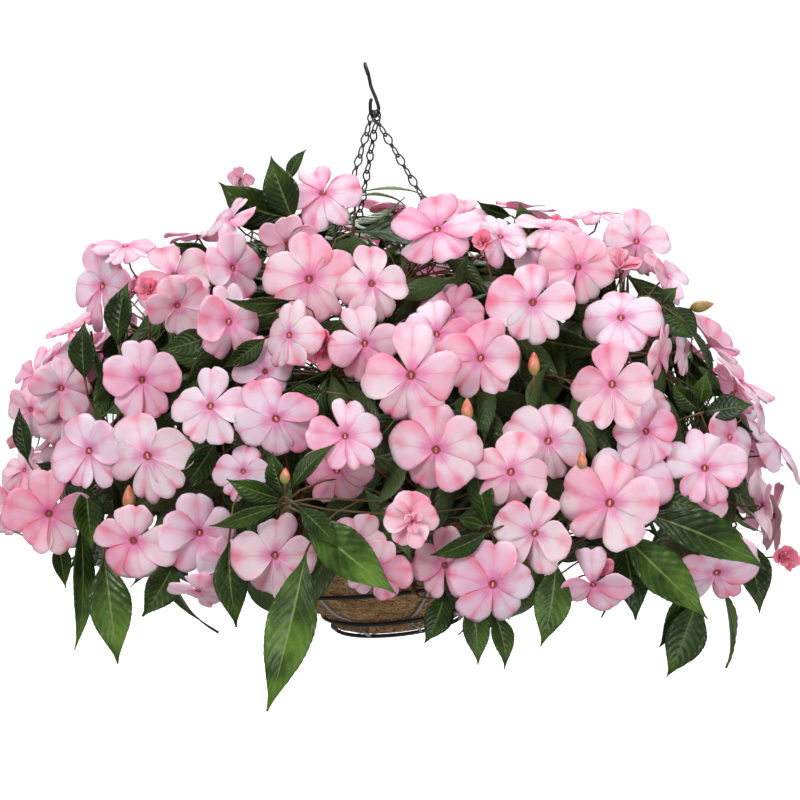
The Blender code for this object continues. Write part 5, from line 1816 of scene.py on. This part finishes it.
def growCover(plant, rng):
    # From each of several sides a grid of sight lines is run into the mound. Where one meets
    # nothing for a good depth, a leaf is hung across it a little way in.
    plan = closePlan
    leaves = 0
    spans = np.arange(-plan["reach"], plan["reach"], plan["pixel"])
    for azimuth, rising in plan["views"]:
        turn, tip = math.radians(azimuth), math.radians(rising)
        way = np.array((-math.sin(turn) * math.cos(tip), math.cos(turn) * math.cos(tip), -math.sin(tip)))
        right = np.array((math.cos(turn), math.sin(turn), 0.0))
        up = np.cross(right, way)
        cover = coverTree(plant)
        for x, y in product(spans, spans):
            start = moundPlan["centre"] + right * (x + rng.uniform(0, plan["pixel"])) + up * y - way * 0.6
            steps = start + way * np.arange(0.2, 0.62, 0.006)[:, None]
            inside = np.nonzero(moundLevel(steps, plan["inset"]) < 1)[0]
            if not len(inside):
                continue
            entry = steps[inside[0]]
            if cover.ray_cast(entry - way * 0.08, way, 0.08 + plan["coverDepth"])[0] is not None:
                continue
            for _ in range(plan["coverTries"]):
                length = rng.uniform(*plan["coverLengths"])
                middle = entry + way * rng.uniform(*plan["coverInsets"])
                radial = unit(middle - moundPlan["centre"])
                down = unit(np.array((0, 0, -0.6)) + radial * 0.8 + rng.normal(0, 0.5, 3))
                down = unit(down - way * (down @ way) * 0.8)
                side = unit(np.cross(down, unit(-way + rng.normal(0, 0.35, 3))))
                item = dict(kind="leaf", base=middle - down * length * 0.5, tip=middle + down * length * 0.5)
                item.update(side=-side, width=length * rng.uniform(*plan["coverWidths"]))
                item.update(arch=rng.uniform(*plan["arches"]), tint=rng.uniform(*plan["coverTints"]))
                if hangLeaf(plant, item):
                    leaves += 1
                    cover = coverTree(plant) if leaves % 12 == 0 else cover
                    break
    return leaves


# Ironwork

ironLook = {
    "lean": 0.0035,
    "hookSides": 12,
    "ringPoints": 120,
    "ringSides": 10,
    "ribPoints": 56,
    "ribSides": 10,
    "linkSides": 8,
    "weld": (0.0022, 0.0012),
    "loop": 0.0034,
    "overlap": 1.12,
    "roll": math.radians(28),
}


def blackWireMaterial(name, colour, rough, metallic, coat):
    material, graph = newMaterial(
        name, Metallic=metallic, Coat_Weight=coat, Coat_Roughness=0.28, Specular_IOR_Level=0.3
    )
    wear = graph.noise(graph.place(), 60.0, 4.0, 0.65)
    pale = tuple(min(1.0, c * 2.5 + 0.01) for c in colour)
    worn = graph.mix(graph.spread(wear, 0.58, 0.78, 0.0, 0.5), colour, pale)
    graph.link(worn, graph.sockets["Base Color"])
    graph.link(graph.spread(wear, 0.3, 0.7, rough * 0.85, rough * 1.2), graph.sockets["Roughness"])
    return material


def makeHook(material):
    # The part's own line, smoothed, as a rod cut off square at its two ends.
    count = 110
    path = smoothCurve(hookLine(), count)
    # The arch leans over with the shank, as the real one does
    path[:, 0] += ironLook["lean"] * np.sin(math.pi * np.clip(-path[:, 2] / 0.030, 0, 1))
    radii = np.full(count, hookPlan["rod"] / 2)
    radii[[0, -1]] *= 0.86
    pile = Pile()
    pile.add(*tubeMesh(path, radii, ironLook["hookSides"]))
    makePiece("hook_rod", pile, [material], ["hook"])


def linkPath(centre, along, across, half):
    # A wire loop like an eight: along it the cosine, across it a rounded end that closes to a
    # waist, and its lower half turned a quarter round from the upper, by a twist at the waist.
    t = np.arange(48) * math.tau / 48
    rank = np.abs(np.cos(t))
    open_ = np.clip(rank / 0.42, 0, 1)
    open_ = open_ * open_ * (3 - 2 * open_)
    waist, lobe = chainPlan["wire"] * 0.42, ironLook["loop"]
    beside = np.sign(np.sin(t)) * (waist + (lobe - waist) * open_) * np.sqrt(np.clip(1 - rank**3.4, 0, 1))
    twist = math.pi / 2 * (0.5 + 0.5 * np.tanh(np.cos(t) / 0.12))
    sideways = np.cos(twist)[:, None] * across + np.sin(twist)[:, None] * np.cross(along, across)
    return centre + np.cos(t)[:, None] * along * half * ironLook["overlap"] + beside[:, None] * sideways


def makeChain(index, material):
    # Links all turned alike, each with a few wraps of wire round its waist. Away from the ends
    # the chain rolls until one of its two sorts of loop shows nearly broadside to the front.
    pile = Pile()
    wire = chainPlan["wire"]
    links = chainLinks(index)
    for number, (centre, along, across, half) in enumerate(links):
        if number % 2:
            across = np.cross(along, across)
        broad = unit(np.cross(along, toward))
        off = math.atan2(np.cross(across, broad) @ along, across @ broad) + ironLook["roll"]
        off = (off + math.pi / 4) % (math.pi / 2) - math.pi / 4
        off *= min(1.0, number / 2, (len(links) - 1 - number) / 2)
        across = across * math.cos(off) + np.cross(along, across) * math.sin(off)
        normal = np.cross(across, along)
        loop = linkPath(centre, along, across, half)
        pile.add(*hoopMesh(loop, wire / 2 * 0.80, ironLook["linkSides"], normal))
        t = np.linspace(-0.5, 0.5, 20)
        turn = t * math.tau * chainPlan["wraps"]
        wrap = centre + t[:, None] * along * wire * 1.5
        wrap = wrap + wire * 0.74 * (np.cos(turn)[:, None] * across + np.sin(turn)[:, None] * normal)
        pile.add(*tubeMesh(wrap, wire * 0.28, 6))
    name = f"chain_{index + 1}"
    makePiece(f"{name}_links", pile, [material], [name])


def makeBasket(black, grey):
    # Rings black and in front, ribs grey behind them, with a bead of weld at each crossing.
    pile = Pile()
    plan = basketPlan
    rings = [(bowlRadius(plan["rimHeight"]), plan["rimHeight"], plan["rimWire"])]
    rings += [(bowlRadius(height), height, plan["ringWire"]) for height in plan["ringHeights"]]
    rings.append((plan["baseRadius"], 0.0, plan["ringWire"]))
    count = ironLook["ringPoints"]
    turns = np.arange(count) * math.tau / count
    for radius, height, wire in rings:
        points = np.stack((radius * np.cos(turns), radius * np.sin(turns), np.full(count, height)), axis=1)
        pile.add(*hoopMesh(inBasket(points), wire / 2, ironLook["ringSides"], upright))
    for i in range(plan["ribCount"]):
        rib = smoothCurve(ribLine(i), ironLook["ribPoints"])
        pile.add(*tubeMesh(rib, plan["ribWire"] / 2, ironLook["ribSides"]), 1)
        local = (rib - plan["base"]) @ basketAxes
        for radius, height, wire in rings:
            near = local[np.abs(local[:, 2] - height).argmin()]
            angle = math.atan2(near[1], near[0])
            inner = radius - wire / 2 + 0.0002
            spot = inBasket((inner * math.cos(angle), inner * math.sin(angle), height))
            out = basketAxes @ np.array((math.cos(angle), math.sin(angle), 0))
            pile.add(*knobMesh(spot, np.cross(upright, out), out, ironLook["weld"], 3, 8))
    makePiece("basket_wires", pile, [black, grey], ["wire_basket"])


# Liner and soil

coirLook = {
    "rings": 60,
    "around": 180,
    "lumps": 0.0011,
    "fibres": 4600,
    "lengths": (0.006, 0.024),
    "radii": (0.00014, 0.00034),
    "seed": 5,
}
coirColours = ((0.56, 0.30, 0.135), (0.10, 0.043, 0.018), (0.84, 0.58, 0.33))
linerOuter = basketPlan["sphere"] - basketPlan["ringWire"] / 2 - basketPlan["ribWire"] + 0.0009 - gap * 2
linerInner = linerOuter - soilPlan["linerThickness"]
linerFoot = ((0.0008, 0.003, 0.007, 0.0115, 0.016), (0.049, 0.0562, 0.0572, 0.0578, 0.0635))


def linerReach(height):
    # The liner's outer radius: the bowl, and below it a foot that sags down between the wires.
    height = np.asarray(height, float)
    bowl = np.sqrt(np.maximum(linerOuter**2 - (basketPlan["sphere"] - height) ** 2, 0))
    return np.where(height < linerFoot[0][-1], np.interp(height, *linerFoot), bowl)


def coirMaterial():
    material, graph = newMaterial("coir_mat", Roughness=0.95, Specular_IOR_Level=0.2)
    brown, dark, straw = coirColours
    where, spread, mix = graph.place(), graph.spread, graph.mix
    fibre = graph.noise(graph.stretched(where, (2.2, 2.2, 1.0)), 420.0, 4.0, 0.7, 2.0)
    tangle = graph.noise(where, 210.0, 4.0, 0.7, 1.5)
    clumps = graph.noise(where, 34.0, 3.0)
    colour = mix(spread(fibre, 0.42, 0.56), dark, brown)
    colour = mix(spread(tangle, 0.50, 0.62, 0.0, 0.8), colour, straw)
    colour = mix(spread(clumps, 0.5, 0.70, 0.0, 0.55), colour, dark)
    colour = mix(spread(graph.attribute("tint"), 0.35, 1.0, 0.0, 0.85), colour, straw)
    graph.finish(colour, graph.scaled(tangle, 0.6, fibre), 0.8, 0.0016)
    return material


def lumpy(count, heights, seed):
    # A few waves of random phase added up, from -1 to 1: the uneven felt of the liner.
    rng = np.random.default_rng(seed)
    turns, total = np.arange(count) * math.tau / count, 0
    for _ in range(14):
        wave = rng.integers(3, 30) * turns + rng.uniform(60, 520) * heights + rng.uniform(0, 6)
        total = total + np.sin(wave)
    return total / 8


def makeLiner(material):
    # A bowl turned round the basket's axis: down its outside, up its inside and over the lip,
    # each ring's radius stirred by the felt's lumps, with loose fibres lying on it.
    rows, around, seed = coirLook["rings"], coirLook["around"], coirLook["seed"]
    rim, low = basketPlan["rimHeight"] - 0.003, linerFoot[0][0]
    outer = np.linspace(0, 1, rows - 2) ** 1.3 * (rim - low) + low
    inner = np.linspace(1, 0.80, 8) * (rim - low) + low
    lip = [bowlRadius(height, linerInner + 0.0006) for height in inner]
    heights = np.concatenate(((low, low), outer, inner))[:, None]
    radii = np.concatenate(((0.016, 0.036), linerReach(outer), lip))[:, None]
    lumps = lumpy(around, heights, seed) * coirLook["lumps"]
    lumps[:rows] = np.clip(lumps[:rows] - 0.0004, -0.002, 0.0002)
    pile = Pile()
    ends = (low, basketPlan["sphere"] - linerInner)
    pile.add(*turned(radii + lumps, heights + lumps * 0.4, around, ends), tint=0.3)
    rng = np.random.default_rng(seed)
    t = np.linspace(-0.5, 0.5, 5)
    for _ in range(coirLook["fibres"]):
        height = rim * rng.random() ** 1.4
        angle = rng.uniform(0, math.tau)
        length, way = rng.uniform(*coirLook["lengths"]), rng.uniform(0, math.pi)
        bow = rng.normal(0, 0.35)
        turn = angle + (t * length * math.cos(way) + bow * length * t**2) / float(linerReach(height))
        level = np.maximum(height + t * length * math.sin(way), low + 0.0002)
        proud = rng.uniform(-0.0003, 0.0009) + rng.uniform(0, 0.0040) * (t > 0.4) * (rng.random() < 0.2)
        reach = linerReach(level) + proud
        path = inBasket(np.stack((reach * np.cos(turn), reach * np.sin(turn), level), axis=1))
        pile.add(*tubeMesh(path, rng.uniform(*coirLook["radii"]), 3), tint=rng.uniform(0.2, 1.0))
    makePiece("liner_felt", pile, [material], ["coir_liner"])


soilLook = {"rings": 34, "around": 110, "fall": 0.008, "stir": 0.0014, "crumbs": 420, "seed": 8}


def soilMaterial():
    material, graph = newMaterial("potting_earth", Roughness=0.92)
    where, spread = graph.place(), graph.spread
    grains = graph.noise(where, 240.0, 5.0, 0.7)
    clods = graph.noise(where, 70.0, 3.0)
    colour = graph.mix(spread(grains, 0.35, 0.65), (0.012, 0.008, 0.005), (0.060, 0.036, 0.020))
    pale = spread(graph.attribute("tint"), 0.8, 1.0, 0.0, 0.85)
    graph.finish(graph.mix(pale, colour, (0.42, 0.38, 0.33)), graph.scaled(clods, 1.5, grains), 0.9, 0.002)
    return material


def soilLevel(share):
    # The height of the mix at this share of the way from its middle to the liner.
    fall = soilLook["fall"]
    return soilPlan["height"] - fall + (soilPlan["mound"] + fall) * (1 - share**2.2)


def makeSoil(material):
    # The top of the mix as a mound stirred by waves, closed below, with crumbs of bark and perlite.
    look = soilLook
    edge = bowlRadius(soilPlan["height"] - look["fall"], linerInner) - gap - 0.0004
    share = np.linspace(0.02, 1, look["rings"])
    wall = np.linspace(soilPlan["height"] - 0.012, 0.024, 8)
    sides = [bowlRadius(height, linerInner) - gap - 0.0006 for height in wall]
    radii = np.concatenate((share * edge, sides))[:, None]
    heights = np.concatenate((soilLevel(share), wall))[:, None]
    stir = lumpy(look["around"], radii, look["seed"]) * look["stir"]
    stir[look["rings"]:] = 0
    ends = (heights[0, 0], basketPlan["sphere"] - linerInner + gap)
    verts, (quads, caps) = turned(radii, heights + stir, look["around"], ends)
    pile = Pile()
    pile.add(verts, (quads[:, [0, 3, 2, 1]], caps[:, [1, 0, 2]]), tint=0.2)
    rng = np.random.default_rng(look["seed"])
    for _ in range(look["crumbs"]):
        reach, angle = edge * 0.96 * math.sqrt(rng.random()), rng.uniform(0, math.tau)
        level = soilLevel(reach / edge) + 0.0006
        spot = inBasket((reach * math.cos(angle), reach * math.sin(angle), level))
        half = rng.uniform(0.0012, 0.0036) * np.array((1.0, rng.uniform(0.4, 0.8)))
        crumb = knobMesh(spot, rng.normal(0, 1, 3), rng.normal(0, 1, 3), half, 3, 5)
        pile.add(*crumb, tint=1.0 if rng.random() < 0.22 else 0.1)
    makePiece("soil_mound", pile, [material], ["potting_soil"])


# Floor, lights and camera

stagePlan = {
    "floor": -1.05,
    "level": (0.001, 3.0),
    "reach": 9.0,
    "bend": 3.0,
    "top": 8.0,
    "colour": (0.80, 0.80, 0.80, 1),
    "glow": 0.80,
    "world": (1.0, 0.985, 0.955, 1),
    "worldStrength": 0.39,
    "aim": (0.03, 0.0, -0.32),
    "lights": (
        ("key_light", (-1.1, -2.3, 1.3), 1.0, 43),
        ("fill_light", (1.5, -2.0, -0.5), 1.4, 21),
        ("top_light", (0.1, 0.2, 1.7), 1.4, 26),
        ("back_light", (0.4, 2.0, 0.9), 1.4, 24),
    ),
}


def makeStage():
    # A floor that rises all round in a quarter circle: one profile turned about the upright.
    plan = stagePlan
    turn = np.linspace(0, math.pi / 2, 12)
    bend = plan["reach"] - plan["bend"] * (1 - np.sin(turn))
    radii = np.concatenate((plan["level"], bend, [plan["reach"]]))
    levels = np.concatenate((np.zeros(2), plan["bend"] * (1 - np.cos(turn)), [plan["top"]])) + plan["floor"]
    around = np.linspace(0, math.tau, 97)
    spread = np.broadcast_to(levels[:, None], (len(levels), len(around)))
    grid = np.stack((np.outer(radii, np.cos(around)), np.outer(radii, np.sin(around)), spread), axis=2)
    mesh = bpy.data.meshes.new("floor_sweep")
    mesh.from_pydata(grid.reshape(-1, 3).tolist(), [], gridFaces(len(radii), len(around)).tolist())
    mesh.shade_smooth()
    material, _ = newMaterial(
        "studio_white",
        Roughness=0.9,
        Base_Color=plan["colour"],
        Emission_Color=(1, 1, 1, 1),
        Emission_Strength=plan["glow"],
    )
    mesh.materials.append(material)
    sweep = newObject("floor_sweep", mesh)
    # The white surroundings show, but leave the shade inside the plant alone
    sweep.visible_diffuse = False
    sweep.visible_glossy = False
    sweep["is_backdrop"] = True


def aimed(way):
    # Turns that point an object's -Z along a direction: first down from the level, then round.
    level = math.hypot(way[0], way[1])
    return (math.pi / 2 + math.atan2(way[2], level), 0.0, math.atan2(way[1], way[0]) - math.pi / 2)


def makeLights():
    for name, place, size, power in stagePlan["lights"]:
        light = bpy.data.lights.new(name, "AREA")
        light.shape = "DISK"
        light.size = size
        light.energy = power
        lamp = newObject(name, light)
        lamp.location = place
        lamp.rotation_euler = aimed(np.array(stagePlan["aim"]) - np.array(place))
        lamp.visible_camera = False
    world = bpy.data.worlds.new("studio_air")
    bpy.context.scene.world = world
    world.use_nodes = True
    background = world.node_tree.nodes["Background"]
    background.inputs[0].default_value = stagePlan["world"]
    background.inputs[1].default_value = stagePlan["worldStrength"]
    bpy.context.scene.view_settings.view_transform = "Standard"


def makeCamera():
    # The photograph's viewpoint: a 100 mm lens on a 36 mm frame, 10 degrees above the level.
    camera = bpy.data.cameras.new("photo_view")
    camera.sensor_width = 36
    camera.lens = 36 * viewPlan["focal"] / (2 * viewPlan["middle"])
    eye = newObject("photo_view", camera)
    eye.location = eyePoint
    eye.rotation_euler = aimed(-toward)
    bpy.context.scene.camera = eye


# The whole basket


def dressStems(plant, skins, rng):
    # Three pieces for each flowering stem of the part: its stems, its leaves and its flowers.
    for node, path in enumerate(plant.stems):
        cadNode = f"flowering_stem_{node + 1:02d}"
        stems, leaves, flowers = Pile(), Pile(), Pile()
        addStem(stems, path)
        for item in (item for item in plant.items if item["node"] == node):
            addStalk(stems, item)
            if item["kind"] == "leaf":
                addLeaf(leaves, item, rng)
            elif item["kind"] == "bud":
                addBud(flowers, item)
            else:
                addBloom(flowers, item, rng)
        makePiece(f"stems_{node + 1:02d}", stems, [skins["stem"]], [cadNode])
        if leaves.count:
            makePiece(f"leaves_{node + 1:02d}", leaves, [skins["leaf"]], [cadNode])
        if flowers.count:
            look = [skins["petal"], skins["anther"], skins["stem"], skins["bud"]]
            makePiece(f"flowers_{node + 1:02d}", flowers, look, [cadNode])


makeStage()
makeLights()
makeCamera()
print("studio ready")

plant = growPlant()
print("plant grown as in the part")
drawStrands(plant)
sinkFlat(plant)
rng = np.random.default_rng(bloomPlan["seed"])
print(f"{growBlooms(plant, rng)} more flowers")
rng = np.random.default_rng(closePlan["seed"])
print(f"{growInner(plant, rng)} inner leaves")
print(f"{growCover(plant, rng)} leaves over the gaps")

skins = {
    "petal": petalMaterial(),
    "leaf": leafMaterial(),
    "stem": stemMaterial(),
    "anther": antherMaterial(),
    "bud": budMaterial(),
}
dressStems(plant, skins, rng)
print("stems, leaves and flowers made")

blackWire = blackWireMaterial("black_coated_wire", (0.010, 0.010, 0.012), 0.50, 0.0, 0.10)
greyWire = blackWireMaterial("zinc_wire", (0.36, 0.37, 0.39), 0.42, 0.85, 0.0)
chainWire = blackWireMaterial("blued_chain_wire", (0.07, 0.072, 0.078), 0.40, 0.75, 0.0)
makeHook(blackWire)
for index in range(len(chainPlan["azimuths"])):
    makeChain(index, chainWire)
makeBasket(blackWire, greyWire)
print("hook, chains and wire basket made")
makeLiner(coirMaterial())
makeSoil(soilMaterial())
print("liner and soil made")

boxes = {"cad": cadBox, "visual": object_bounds()}
{name: [list(corner) for corner in box] for name, box in boxes.items()}
